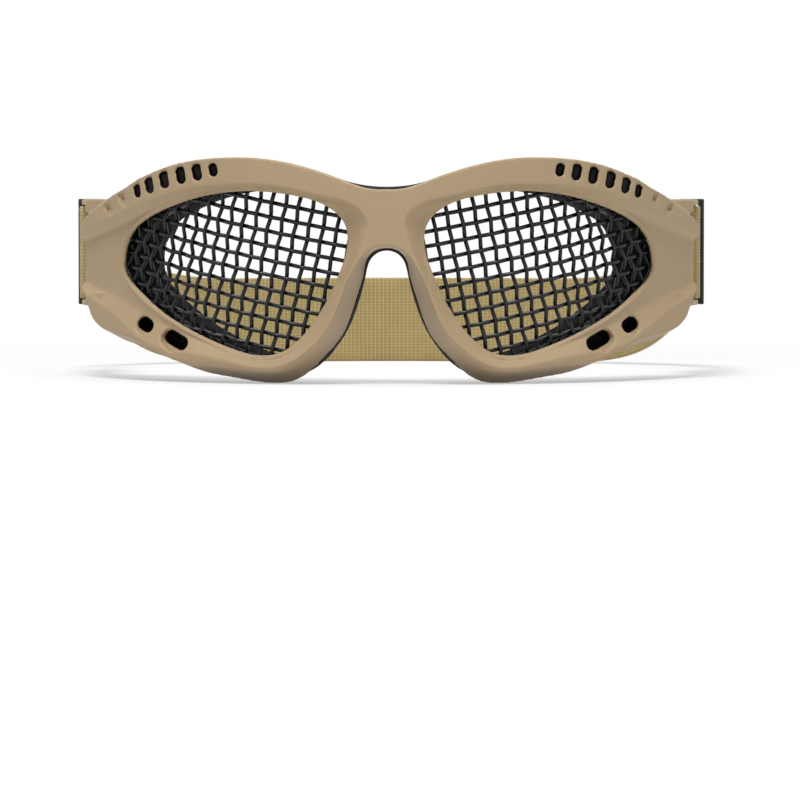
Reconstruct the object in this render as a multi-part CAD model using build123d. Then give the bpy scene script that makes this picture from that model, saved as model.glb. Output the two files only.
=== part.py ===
from build123d import *
import math
import os

os.makedirs("parts", exist_ok=True)

# Wire mesh safety goggles, in millimetres.
# X runs to the right seen from the front, Y back towards the face, Z up.
# The frame stands on its two rims and on the back of the strap, all at Z = 0.

# Frame, the moulded shell
frame_half_width = 82.0
frame_height = 57.5
front_radius = 80.5
wrap_angle = 58.0
sight_share = 0.53
nose_depth = 14.0
temple_thickness = 6.0
recess_depth = 4.0
temple_recess = 1.8

# Lens seat, moulded into the frame behind the recess
front_lip = 1.0
groove_width = 3.0
groove_depth = 1.5
back_lip = 0.8

# Upper vents, a row of slots in each brow
vent_width = 2.1
vent_height = 4.2
vent_corner = 0.75
vent_lean = 11.0
vent_tilt = 14.0
vent_run = 16.0
vent_edge = 0.35
vent_edge_depth = 0.4

# Lower vents, ovals beside the lens, and the blind dimples of the brow
lower_vent_width = 3.7
lower_vent_lengths = (4.4, 6.6)
lower_vent_corner = 1.2
lower_vent_slope = 29.0
lower_vent_tilt = 10.0
lower_vent_run = 12.0
dimple_radius = 1.2
dimple_depth = 0.8
dimple_sides = 8

# Woven wire lens in its folded steel rim
wire_size = 0.9
wire_pitch = 3.63
weave_height = 0.65
weave_turn = 11.0
weave_depth = 2.5
rim_sheet = 0.3
rim_clearance = 0.05
rim_inset = 0.2
wire_end_gap = 0.2
shortest_wire = 4.0
lens_corners = 36
wire_count = 14
span_steps = 40

# Foam face seal
foam_thickness = 8.0
foam_overlap = 0.3
seat_gap = 0.1

# Strap loops moulded behind the temples
bar_inset = 3.0
bar_setback = 8.7
bar_radius = 1.75
loop_wall = 1.15
arm_thickness = 1.5
arm_gap = 0.25
arm_root_radius = 2.4
arm_roots = (3.2, 10.5)
root_height = 3.5

# Elastic strap
strap_width = 24.5
webbing = 1.4
strap_level = 33.0
strap_lean = 2.0
fold_gap = 0.3
fold_leg = 8.0
straight_run = 58.0
side_radius = 70.0
side_turn = 45.0
level_run = 52.0
floor_run = 13.0

# Sliders on the strap
slider_place = 30.0
slider_half_length = 8.0
slider_side_gap = 0.4
slider_rail = 1.6
slider_bar_width = 2.2
slider_bar_height = 1.2
slider_bar_corner = 0.35
slider_gap = 0.15
centre_bar_radius = 1.1
tab_gap = 0.15
tab_sewn = 6.0
tab_straight = 3.0
tab_rise = 5.0
seam_gap = 0.1

# Bar tacks, the stitches through each end tab
stitch_count = 9
stitch_length = 3.4
stitch_width = 0.9
stitch_height = 0.35
stitch_slant = 18.0

# All cuts run past the material by this much
overrun = 5.0

# Front-view outlines of the right half, in shares of the half width and the height.
# The brow runs from the bridge out to the temple.
brow_shares = [
    (-0.055, 0.860), (0.000, 0.857), (0.055, 0.860), (0.101, 0.880), (0.168, 0.918),
    (0.265, 0.961), (0.358, 0.990), (0.468, 1.000), (0.552, 0.994), (0.666, 0.962),
    (0.779, 0.900), (0.886, 0.828), (0.955, 0.760), (0.992, 0.706), (1.000, 0.655),
]
# The cheek runs from the temple under the lens to the nose arch: its crest in front
# and its edge at the back, which flares outwards.
cheek_crest_shares = [
    (0.998, 0.410), (0.960, 0.335), (0.915, 0.290), (0.830, 0.205), (0.752, 0.140),
    (0.681, 0.108), (0.583, 0.103), (0.460, 0.079), (0.358, 0.065), (0.264, 0.112),
    (0.208, 0.185), (0.151, 0.331), (0.121, 0.443), (0.097, 0.511), (0.072, 0.563),
    (0.038, 0.598), (0.000, 0.607), (-0.038, 0.598),
]
cheek_edge_shares = [
    (0.936, 0.405), (0.905, 0.325), (0.880, 0.272), (0.822, 0.190), (0.765, 0.133),
    (0.692, 0.090), (0.580, 0.068), (0.454, 0.031), (0.349, -0.004), (0.239, 0.026),
    (0.173, 0.134), (0.118, 0.267), (0.086, 0.402), (0.071, 0.486), (0.062, 0.546),
    (0.037, 0.585), (0.000, 0.598), (-0.037, 0.585),
]
# The recess round the lens, open to the temple: its crest and the foot of its bevel
recess_crest_shares = [
    (1.050, 0.632), (0.962, 0.680), (0.886, 0.726), (0.799, 0.776), (0.681, 0.840),
    (0.552, 0.881), (0.424, 0.883), (0.297, 0.863), (0.190, 0.822), (0.101, 0.789),
    (0.062, 0.738), (0.055, 0.703), (0.078, 0.612), (0.112, 0.488), (0.154, 0.338),
    (0.211, 0.195), (0.268, 0.121), (0.358, 0.074), (0.460, 0.088), (0.583, 0.112),
    (0.681, 0.123), (0.743, 0.159), (0.811, 0.233), (0.907, 0.336), (1.050, 0.460),
]
recess_foot_shares = [
    (1.050, 0.590), (0.955, 0.640), (0.875, 0.690), (0.790, 0.738), (0.690, 0.790),
    (0.555, 0.846), (0.424, 0.862), (0.313, 0.846), (0.222, 0.814), (0.150, 0.778),
    (0.120, 0.735), (0.112, 0.690), (0.113, 0.612), (0.137, 0.495), (0.184, 0.352),
    (0.236, 0.232), (0.300, 0.148), (0.374, 0.114), (0.465, 0.132), (0.578, 0.180),
    (0.668, 0.225), (0.728, 0.270), (0.797, 0.325), (0.893, 0.398), (1.050, 0.500),
]
opening_shares = [
    (0.843, 0.531), (0.826, 0.640), (0.775, 0.719), (0.692, 0.777), (0.560, 0.832),
    (0.422, 0.850), (0.270, 0.828), (0.165, 0.778), (0.126, 0.722), (0.118, 0.640),
    (0.145, 0.490), (0.200, 0.325), (0.262, 0.205), (0.325, 0.138), (0.384, 0.124),
    (0.474, 0.150), (0.612, 0.230), (0.735, 0.335), (0.807, 0.425),
]
cavity_shares = [
    (0.101, 0.678), (0.107, 0.574), (0.137, 0.461), (0.177, 0.330), (0.232, 0.191),
    (0.299, 0.104), (0.378, 0.085), (0.476, 0.092), (0.561, 0.122), (0.671, 0.184),
    (0.744, 0.261), (0.778, 0.383), (0.787, 0.522), (0.768, 0.661), (0.713, 0.765),
    (0.610, 0.861), (0.500, 0.913), (0.402, 0.925), (0.293, 0.904), (0.201, 0.857),
    (0.134, 0.797), (0.107, 0.739),
]
foam_top_shares = [
    (-0.055, 0.874), (0.000, 0.870), (0.055, 0.874), (0.101, 0.884), (0.168, 0.911),
    (0.265, 0.953), (0.358, 0.977), (0.468, 0.988), (0.552, 0.980), (0.666, 0.942),
    (0.780, 0.870), (0.854, 0.791), (0.896, 0.713),
]
foam_bottom_shares = [
    (0.896, 0.400), (0.854, 0.285), (0.771, 0.167), (0.691, 0.115), (0.579, 0.088),
    (0.454, 0.053), (0.349, 0.022), (0.246, 0.052), (0.174, 0.141), (0.117, 0.270),
    (0.084, 0.399), (0.069, 0.485), (0.054, 0.552), (0.031, 0.579), (0.000, 0.590),
    (-0.031, 0.579),
]
vent_shares = [
    (0.789, 0.854), (0.748, 0.879), (0.698, 0.903), (0.643, 0.922), (0.590, 0.936),
    (0.538, 0.946),
]
recess_turn = 12
recess_reach = 1.4
vent_size_shares = [(0.80, 0.80), (0.95, 0.96), (1.0, 1.0), (1.0, 1.0), (1.0, 1.0), (0.90, 0.78)]
lower_vent_shares = [(0.764, 0.252), (0.669, 0.186)]
dimple_shares = [(0.850, 0.829), (0.901, 0.783)]

wrap_turn = math.radians(wrap_angle)
lens_turn = wrap_turn * sight_share
lens_sight = Vector(-math.sin(lens_turn), math.cos(lens_turn), 0)
near_section = -front_radius * (1 - math.cos(lens_turn)) - overrun
far_section = nose_depth + overrun
tail_run = frame_half_width / 2


def wrapped(depth_at_nose, depth_at_temple):
    """Radius and centre of a wrapped surface that lies so deep behind the front."""
    drop = depth_at_nose * math.cos(wrap_turn) - depth_at_temple
    radius = front_radius + drop / (1 - math.cos(wrap_turn))
    return radius, radius + depth_at_nose


def behind(surface, distance):
    """The surface that lies evenly behind another one."""
    return surface[0] - distance, surface[1]


front = wrapped(0, 0)
floor = wrapped(recess_depth, temple_recess)
back = wrapped(nose_depth, temple_thickness)


def inward(turn):
    """Direction from a wrapped surface straight into the part, where it has turned so far."""
    return Vector(-math.sin(turn), math.cos(turn), 0)


def at_arc(surface, length, z):
    """Point of a surface by its arc length from the middle, with the turn there."""
    radius, centre = surface
    turn = max(-wrap_turn, min(wrap_turn, length / radius))
    rest = length - radius * turn
    spot = Vector(radius * math.sin(turn), centre - radius * math.cos(turn), z)
    return spot + Vector(math.cos(turn), math.sin(turn), 0) * rest, turn


def arc_length(surface, x):
    """Arc length from the middle to a front-view place on a surface."""
    radius = surface[0]
    reach = radius * math.sin(wrap_turn)
    if abs(x) <= reach:
        return radius * math.asin(x / radius)
    return math.copysign(radius * wrap_turn + (abs(x) - reach) / math.cos(wrap_turn), x)


def placed(share):
    """Front-view place of one share pair, in millimetres."""
    return share[0] * frame_half_width, share[1] * frame_height


def on_surface(surface, share):
    """Point of a surface at a front-view share, with the turn there."""
    x, z = placed(share)
    return at_arc(surface, arc_length(surface, x), z)


def square_walls(surface, shares):
    """Wall lines that stand square to a surface."""
    spots = [on_surface(surface, share) for share in shares]
    return [(spot, inward(turn)) for spot, turn in spots]


def brow_walls():
    """Wall lines of the brow, which lean inwards only towards the temple."""
    spots = [on_surface(front, share)[0] for share in brow_shares]
    return [(spot, inward(wrap_turn * (spot.X / frame_half_width) ** 2)) for spot in spots]


def joined_walls(near, near_shares, far, far_shares):
    """Wall lines from points on one surface to points on another."""
    starts = [on_surface(near, share)[0] for share in near_shares]
    ends = [on_surface(far, share)[0] for share in far_shares]
    return [(start, end - start) for start, end in zip(starts, ends)]


def section(runs, reach, cornered):
    """Flat section through runs of wall lines, so far along the lens's sight."""
    edges = []
    for run in runs:
        points = [spot + way * ((reach - spot.dot(lens_sight)) / way.dot(lens_sight)) for spot, way in run]
        if cornered:
            edges.append(Polyline(*points, close=True))
        elif len(runs) == 1:
            edges.append(Spline(*points, periodic=True))
        elif len(points) > 2:
            edges.append(Spline(*points))
        else:
            edges.append(Line(*points))
    return make_face(edges)


def walled(*runs, cornered=False):
    """Solid inside ruled walls, from in front of the frame to behind it."""
    return loft([section(runs, reach, cornered) for reach in (near_section, far_section)], ruled=True)


def ruled_block(near, far, turn_at):
    """Solid with ruled walls between two open outlines in space, which turn back at one point."""
    near_sides = [Spline(*near[:turn_at]), Spline(*near[turn_at - 1:][::-1])]
    far_sides = [Spline(*far[:turn_at]), Spline(*far[turn_at - 1:][::-1])]
    pairs = [near_sides, far_sides]
    pairs += [(near_sides[0], far_sides[0]), (near_sides[1], far_sides[1])]
    pairs.append((Line(near[0], near[-1]), Line(far[0], far[-1])))
    return Solid(Shell([Face.make_surface_from_curves(*pair) for pair in pairs]))


def surface_line(surface):
    """Plan line of a surface from its left tail to its right tail, as three edges."""
    radius, centre = surface
    ends = [at_arc(surface, side * (radius * wrap_turn + tail_run), 0)[0] for side in (-1, 1)]
    bends = [at_arc(surface, side * radius * wrap_turn, 0)[0] for side in (-1, 1)]
    middle = at_arc(surface, 0, 0)[0]
    return [Line(ends[0], bends[0]), ThreePointArc(bends[0], middle, bends[1]), Line(bends[1], ends[1])]


def band(near, far, low=-overrun):
    """Upright slab between two wrapped surfaces."""
    lines = surface_line(near) + surface_line(far)
    closers = [Line(lines[0] @ 0, lines[3] @ 0), Line(lines[2] @ 1, lines[5] @ 1)]
    plan = Pos(0, 0, low) * make_face(lines + closers)
    return extrude(plan, frame_height + 2 * overrun, dir=(0, 0, 1))


def ring_places(shares):
    """Closed outline on the recess floor, as arc lengths and heights."""
    return [(arc_length(floor, placed(share)[0]), placed(share)[1]) for share in shares]


def grown(ring, distance):
    """Closed outline moved outwards evenly, whichever way it runs."""
    area = sum(a[0] * b[1] - b[0] * a[1] for a, b in zip(ring, ring[1:] + ring[:1]))
    side = math.copysign(distance, area)
    moved = []
    for before, here, after in zip(ring[-1:] + ring[:-1], ring, ring[1:] + ring[:1]):
        along = Vector(after[0] - before[0], after[1] - before[1], 0).normalized()
        moved.append((here[0] + along.Y * side, here[1] - along.X * side))
    return moved


def ring_walls(ring):
    """Wall lines of a closed outline, square to the recess floor."""
    spots = [at_arc(floor, length, z) for length, z in ring]
    return [(spot, inward(turn)) for spot, turn in spots]


opening = ring_places(opening_shares)
opening_middle = Vector(
    sum(length for length, z in opening) / len(opening),
    sum(z for length, z in opening) / len(opening),
    0,
)


def cornered_ring(count):
    """Closed outline of the opening, as evenly set places."""
    curve = Spline(*[Vector(length, z, 0) for length, z in opening], periodic=True)
    spots = [curve @ (step / count) for step in range(count)]
    return [(spot.X, spot.Y) for spot in spots]


lens_ring = cornered_ring(lens_corners)


def lens_walls(distance):
    """Solid inside straight-sided walls so far outside the opening."""
    return walled(ring_walls(grown(lens_ring, distance)), cornered=True)


def both_halves(half):
    """A right half with its mirror image, as one solid."""
    half = split(half, bisect_by=Plane.YZ, keep=Keep.TOP)
    return half + mirror(half, about=Plane.YZ)


def vent_cut(surface, share, slot, lip, roll, tilt, run):
    """Slot that runs in from a surface and towards the middle of the lens, with a shallow lip."""
    spot, turn = on_surface(surface, share)
    right = Vector(math.cos(turn), math.sin(turn), 0)
    towards = opening_middle - Vector(arc_length(surface, spot.X), spot.Z, 0)
    towards = (right * towards.X + Vector(0, 0, towards.Y)).normalized()
    way = inward(turn) * math.cos(math.radians(tilt)) + towards * math.sin(math.radians(tilt))
    face_plane = Plane(spot - inward(turn) * overrun, x_dir=right, z_dir=-inward(turn))
    start = spot - way * (overrun / math.cos(math.radians(tilt)))
    through = Plane(start, x_dir=right, z_dir=-inward(turn))
    reach = overrun / math.cos(math.radians(tilt)) + run
    cut = extrude(through * Rot(0, 0, roll) * slot, reach, dir=way)
    return cut + extrude(face_plane * Rot(0, 0, roll) * lip, overrun + vent_edge_depth, dir=inward(turn))


def cut_rectangle(width, height, corner):
    """Rectangle with its corners cut off."""
    whole = Rectangle(width, height)
    return chamfer(whole.vertices(), corner)


def upper_vents():
    cuts = []
    for share, size in zip(vent_shares, vent_size_shares):
        width = vent_width * size[0]
        height = vent_height * size[1]
        corner = vent_corner * size[0]
        slot = cut_rectangle(width, height, corner)
        lip = cut_rectangle(width + 2 * vent_edge, height + 2 * vent_edge, corner + vent_edge / 2)
        cuts.append(vent_cut(front, share, slot, lip, -vent_lean, vent_tilt, vent_run))
    return cuts


def lower_vents():
    cuts = []
    for share, length in zip(lower_vent_shares, lower_vent_lengths):
        slot = cut_rectangle(length, lower_vent_width, lower_vent_corner)
        lip = cut_rectangle(length + 2 * vent_edge, lower_vent_width + 2 * vent_edge, lower_vent_corner)
        cuts.append(vent_cut(floor, share, slot, lip, lower_vent_slope, lower_vent_tilt, lower_vent_run))
    return cuts


def dimples():
    cuts = []
    for share in dimple_shares:
        spot, turn = on_surface(front, share)
        outline = Plane(spot, z_dir=inward(turn)) * RegularPolygon(dimple_radius, dimple_sides)
        cuts.append(extrude(outline, dimple_depth, dir=inward(turn), both=True))
    return cuts


# The temple's end, its middle line and the strap bar behind it
temple_end = on_surface(front, (1, 0))[0]
temple_way = Vector(math.cos(wrap_turn), math.sin(wrap_turn), 0)
bar_spot = Vector(frame_half_width - bar_inset, temple_end.Y + bar_setback, strap_level)
strap_side = Pos(bar_spot) * Rot(0, 0, -strap_lean)
loop_half = strap_width / 2 + arm_gap
fold_inner = bar_radius + fold_gap
fold_outer = fold_inner + webbing
layer_middle = fold_inner + webbing / 2


def arm_plan():
    """Plan of one arm of a strap loop, from the temple back round the bar."""
    inside = inward(wrap_turn) * (temple_thickness / 2)
    roots = [temple_end + inside - temple_way * run for run in arm_roots]
    circles = [Pos(root.X, root.Y) * Circle(arm_root_radius) for root in roots]
    circles.append(Pos(bar_spot.X, bar_spot.Y) * Circle(bar_radius + loop_wall))
    return make_hull([edge for circle in circles for edge in circle.edges()]), make_hull(
        [edge for circle in circles[:2] for edge in circle.edges()]
    )


def strap_loop():
    """Loop for the strap: two arms from the temple and an upright bar."""
    arm, root = arm_plan()
    bar = Pos(bar_spot) * Cylinder(bar_radius, 2 * (loop_half + arm_thickness))
    loop = bar
    for side in (-1, 1):
        level = strap_level + side * (loop_half + arm_thickness / 2)
        loop += Pos(0, 0, level) * extrude(arm, arm_thickness / 2, both=True)
        level = strap_level + side * (loop_half + arm_thickness - root_height / 2)
        loop += Pos(0, 0, level) * extrude(root, root_height / 2, both=True)
    return loop


def frame_shell():
    """The moulded frame: outer form, recess, lens opening with its groove, hollow and vents."""
    cheek = joined_walls(front, cheek_crest_shares, back, cheek_edge_shares)
    brow = brow_walls()
    half = walled(brow, [brow[-1], cheek[0]], cheek, [cheek[-1], brow[0]]) & band(front, back, 0)
    recess = joined_walls(front, recess_crest_shares, floor, recess_foot_shares)
    recess_near = [spot - way * recess_reach for spot, way in recess]
    recess_far = [spot + way * recess_reach for spot, way in recess]
    half -= ruled_block(recess_near, recess_far, recess_turn) & band(behind(front, -overrun), floor)
    half -= walled(ring_walls(opening))
    groove = band(behind(floor, front_lip), behind(floor, front_lip + groove_width))
    half -= lens_walls(groove_depth) & groove
    hollow_front = behind(floor, front_lip + groove_width + back_lip)
    hollow = walled(square_walls(floor, cavity_shares)) & band(hollow_front, behind(back, overrun))
    half -= hollow
    half -= upper_vents() + lower_vents() + dimples()
    half += strap_loop()
    return both_halves(half)


def mesh_rim():
    """Folded steel channel that holds the wire ends, seated in the frame's groove."""
    outer = lens_walls(groove_depth - rim_clearance)
    slot = lens_walls(groove_depth - rim_clearance - rim_sheet)
    inner = lens_walls(rim_inset)
    near = front_lip + rim_clearance
    far = front_lip + groove_width - rim_clearance
    channel = (outer - inner) & band(behind(floor, near), behind(floor, far))
    slot = slot & band(behind(floor, near + rim_sheet), behind(floor, far - rim_sheet))
    return channel - slot


def is_inside(place, ring):
    """Whether a place lies inside a closed outline."""
    hit = False
    for a, b in zip(ring, ring[1:] + ring[:1]):
        if (a[1] > place[1]) != (b[1] > place[1]):
            if place[0] < a[0] + (b[0] - a[0]) * (place[1] - a[1]) / (b[1] - a[1]):
                hit = not hit
    return hit


weave_radius, weave_centre = behind(floor, weave_depth)
weave_slope = math.tan(math.radians(weave_turn))
weave_step = wire_pitch / math.cos(math.radians(weave_turn))
middle_turn = opening_middle.X / floor[0]
wire_reach = grown(lens_ring, groove_depth)
wire_limit = groove_depth - rim_clearance - rim_sheet - wire_end_gap
wire_numbers = range(-wire_count, wire_count + 1)


def weft_height(number, turn, radius):
    """Height of a cross wire where the sheet has turned so far."""
    return opening_middle.Y + number * weave_step + weave_slope * radius * math.sin(turn - middle_turn)


def warp_turn(number, z, radius):
    """Turn of the sheet at which an upright wire has this height."""
    across = number * weave_step / weave_radius + middle_turn
    return across - math.asin(weave_slope * (z - opening_middle.Y) / radius)


def crossing(weft, warp):
    """Turn and height at which two wires cross."""
    turn = middle_turn + warp * weave_step / weave_radius
    for _ in range(6):
        z = weft_height(weft, turn, weave_radius)
        turn = warp_turn(warp, z, weave_radius)
    return turn, z


def lift(weft, warp, of_weft):
    """Distance of a wire from the sheet's middle at a crossing, over and under in turn."""
    over = (weft + warp) % 2 == 0
    return weave_height if over == of_weft else -weave_height


def inside_span(stations):
    """The stretch of a wire between its ends in the rim, with a station at each end."""
    kept = []
    for (a_turn, a_z, a_lift), (b_turn, b_z, b_lift) in zip(stations, stations[1:]):
        steps = []
        for step in range(span_steps + 1):
            f = step / span_steps
            steps.append(tuple(p + (q - p) * f for p, q in ((a_turn, b_turn), (a_z, b_z), (a_lift, b_lift))))
        held = [s for s in steps if is_inside((s[0] * floor[0], s[1]), wire_reach)]
        if held:
            kept += [held[0], held[-1]]
    return [spot for number, spot in enumerate(kept) if number == 0 or spot[:2] != kept[number - 1][:2]]


def wire_solid(points, side):
    """Four-sided wire along points in one plane, mitred at each, with this sideways direction."""
    ways = [(b - a).normalized() for a, b in zip(points, points[1:])]
    lifts = [side.cross(way).normalized() for way in ways]
    corners = [lifts[0] * (wire_size / 2)]
    for before, after in zip(lifts, lifts[1:]):
        middle = (before + after).normalized()
        corners.append(middle * (wire_size / 2 / middle.dot(after)))
    corners.append(lifts[-1] * (wire_size / 2))
    edge = [p + c for p, c in zip(points, corners)] + [p - c for p, c in zip(points[::-1], corners[::-1])]
    profile = make_face(Polyline(*edge, close=True))
    return extrude(profile, wire_size / 2, dir=side) + extrude(profile, wire_size / 2, dir=side * -1)


def weave_spot(turn, z, height):
    """Point of a wire's middle line."""
    radius = weave_radius + height
    return Vector(radius * math.sin(turn), weave_centre - radius * math.cos(turn), z)


def weft_wires():
    """Cross wires of one lens, each over and under the upright ones."""
    along = Vector(math.cos(middle_turn), math.sin(middle_turn), 0)
    slope = math.radians(weave_turn)
    side = along * -math.sin(slope) + Vector(0, 0, math.cos(slope))
    trim = lens_walls(wire_limit)
    wires = []
    for weft in wire_numbers:
        stations = []
        for warp in wire_numbers:
            turn, z = crossing(weft, warp)
            stations.append((turn, z, lift(weft, warp, True)))
        span = inside_span(stations)
        if not span or (span[-1][0] - span[0][0]) * weave_radius < shortest_wire:
            continue
        points = []
        for turn, z, height in span:
            z = weft_height(weft, turn, weave_radius + height)
            points.append(weave_spot(turn, z, height))
        wires.append(wire_solid(points, side) & trim)
    return wires


def warp_wires():
    """Upright wires of one lens."""
    slope = math.radians(weave_turn)
    trim = lens_walls(wire_limit)
    wires = []
    for warp in wire_numbers:
        foot = middle_turn + warp * weave_step / weave_radius
        side = Vector(math.cos(foot), math.sin(foot), 0) * math.cos(slope) + Vector(0, 0, math.sin(slope))
        stations = []
        for weft in wire_numbers:
            turn, z = crossing(weft, warp)
            stations.append((turn, z, lift(weft, warp, False)))
        span = inside_span(stations)
        if not span or abs(span[-1][1] - span[0][1]) < shortest_wire:
            continue
        points = []
        for turn, z, height in span:
            turn = warp_turn(warp, z, weave_radius + height)
            points.append(weave_spot(turn, z, height))
        wires.append(wire_solid(points, side) & trim)
    return wires


def face_foam():
    """Foam seal on the back of the frame, one piece round both eyes and over the nose."""
    seat = behind(back, seat_gap)
    top = square_walls(seat, foam_top_shares)
    bottom = square_walls(seat, foam_bottom_shares)
    half = walled(top, [top[-1], bottom[0]], bottom, [bottom[-1], top[0]])
    whole = both_halves(half & band(seat, behind(seat, foam_thickness)))
    hole = lens_walls(foam_overlap)
    return whole - [hole, mirror(hole, about=Plane.YZ)]


def strap_plan():
    """Middle line of the right half of the strap's long run, seen from above."""
    start = strap_side * Pos(layer_middle, fold_leg)
    turn_in = strap_side * Pos(layer_middle, straight_run)
    lean = math.radians(strap_lean)
    side = math.radians(side_turn)
    way = Vector(math.sin(lean), math.cos(lean), 0)
    first = Line(Vector(start.position.X, start.position.Y, 0), Vector(turn_in.position.X, turn_in.position.Y, 0))
    second = JernArc(first @ 1, way, side_radius, strap_lean + side_turn)
    rest = (first @ 1).X - side_radius * (math.cos(lean) - math.cos(side))
    third = JernArc(second @ 1, second % 1, rest / math.cos(side), 90 - side_turn)
    return [first, second, third]


def strap_side_view():
    """The strap seen from the side: level beside the sliders, then down to rest on its back edge."""
    path = strap_plan()
    start = (path[0] @ 0).Y - overrun
    level_end = bar_spot.Y + level_run
    rear = (path[2] @ 1).Y + overrun
    floor_start = (path[2] @ 1).Y - floor_run
    drop = strap_level - strap_width / 2
    lower = [Vector(0, start, drop), Vector(0, level_end, drop), Vector(0, floor_start, 0), Vector(0, rear, 0)]
    upper = [p + Vector(0, 0, strap_width) for p in lower]
    edges = []
    for line in (lower, upper):
        edges.append(Line(line[0], line[1]))
        edges.append(Spline(line[1], line[2], tangents=[(0, 1, 0), (0, 1, 0)]))
        edges.append(Line(line[2], line[3]))
    edges.append(Line(lower[0], upper[0]))
    edges.append(Line(lower[3], upper[3]))
    return make_face(edges)


def strap_band():
    """The strap's long run, from one side round the back to the other."""
    plan = trace(strap_plan(), line_width=webbing)
    tall = extrude(plan, strap_level + strap_width, dir=(0, 0, 1))
    side = extrude(strap_side_view(), 2 * frame_half_width, both=True)
    return both_halves(tall & side)


def upright(profile):
    """Webbing with this plan, at the strap's width, in the place of the right side."""
    return strap_side * extrude(profile, strap_width / 2, both=True)


def strap_fold():
    """Webbing round the bar of the strap loop, with a short leg on each side."""
    ring = Circle(fold_outer) - Circle(fold_inner)
    turn = ring & Pos(0, -fold_outer) * Rectangle(2 * fold_outer, 2 * fold_outer)
    legs = [Pos(side * layer_middle, fold_leg / 2) * Rectangle(webbing, fold_leg) for side in (-1, 1)]
    return upright(turn + legs[0] + legs[1])


def strap_return():
    """Inner layer of webbing, from the fold back to the slider."""
    length = slider_place - seam_gap - fold_leg
    return upright(Pos(-layer_middle, fold_leg + length / 2) * Rectangle(webbing, length))


tab_inner = centre_bar_radius + tab_gap
tab_middle = tab_inner + webbing / 2
centre_bar_out = tab_middle - layer_middle


def slider():
    """Three-bar slider: the strap runs under its end bars and over its centre bar."""
    end_out = fold_outer + slider_gap + slider_bar_height / 2
    end_along = slider_half_length - slider_bar_width / 2
    centre = Pos(centre_bar_out, slider_place)
    ends = [Pos(end_out, slider_place + side * end_along) for side in (-1, 1)]
    end_plan = cut_rectangle(slider_bar_height, slider_bar_width, slider_bar_corner)
    hub = centre * Circle(centre_bar_radius)
    rail_plan = Sketch()
    for end in ends:
        rail_plan += make_hull([edge for shape in (hub, end * end_plan) for edge in shape.edges()])
    inner_half = strap_width / 2 + slider_side_gap
    outer_half = inner_half + slider_rail
    body = extrude(centre * Circle(centre_bar_radius), outer_half, both=True)
    for end in ends:
        body += extrude(end * end_plan, outer_half, both=True)
    for side in (-1, 1):
        level = side * (inner_half + slider_rail / 2)
        body += Pos(0, 0, level) * extrude(rail_plan, slider_rail / 2, both=True)
    return strap_side * body


def end_tab():
    """End of the strap, turned round the slider's centre bar and sewn to the inner layer."""
    sewn_out = -layer_middle + webbing + seam_gap
    far_out = centre_bar_out + tab_middle
    rise_start = -tab_straight - tab_rise
    points = [
        (sewn_out, slider_place + rise_start - tab_sewn),
        (sewn_out, slider_place + rise_start),
        (far_out, slider_place - tab_straight),
        (far_out, slider_place),
    ]
    run = FilletPolyline(*points, radius=webbing)
    turn = JernArc(run @ 1, (0, 1), tab_middle, 180)
    return upright(trace([run, turn], line_width=webbing))


def bar_tack():
    """Row of stitches through the end tab, on the inner face of the strap."""
    middle_along = slider_place - tab_straight - tab_rise - tab_sewn / 2
    out = -fold_outer - seam_gap / 2 - stitch_height / 2
    step = strap_width / (stitch_count + 1)
    stitches = []
    for number in range(stitch_count):
        level = (number + 1) * step - strap_width / 2
        slant = stitch_slant if number % 2 == 0 else -stitch_slant
        stitch = Rot(slant, 0, 0) * Box(stitch_height, stitch_length, stitch_width)
        stitches.append(strap_side * Pos(out, middle_along, level) * stitch)
    return stitches


overall_depth = (strap_plan()[2] @ 1).Y + webbing / 2


def save(name, shape):
    """Write one node, of one solid or of several, with the origin at the middle of the depth."""
    pieces = [Pos(0, -overall_depth / 2, 0) * piece for piece in (shape if isinstance(shape, list) else [shape])]
    solids = [solid for piece in pieces for solid in piece.solids()]
    export_step(solids[0] if len(solids) == 1 else Compound(children=solids), f"parts/{name}.step")


def save_pair(name, shape):
    """Write a right-hand node and its mirror image on the left."""
    pieces = shape if isinstance(shape, list) else [shape]
    save(f"right_{name}", pieces)
    save(f"left_{name}", [mirror(piece, about=Plane.YZ) for piece in pieces])


save("frame_shell", frame_shell())
save_pair("mesh_rim", mesh_rim())
save_pair("mesh_weft", weft_wires())
save_pair("mesh_warp", warp_wires())
save("face_foam", face_foam())
save("strap_band", strap_band())
save_pair("strap_fold", strap_fold())
save_pair("strap_return", strap_return())
save_pair("slider", slider())
save_pair("end_tab", end_tab())
save_pair("bar_tack", bar_tack())
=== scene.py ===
import logging
import math
from collections.abc import Callable
from dataclasses import dataclass
from enum import Enum

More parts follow.
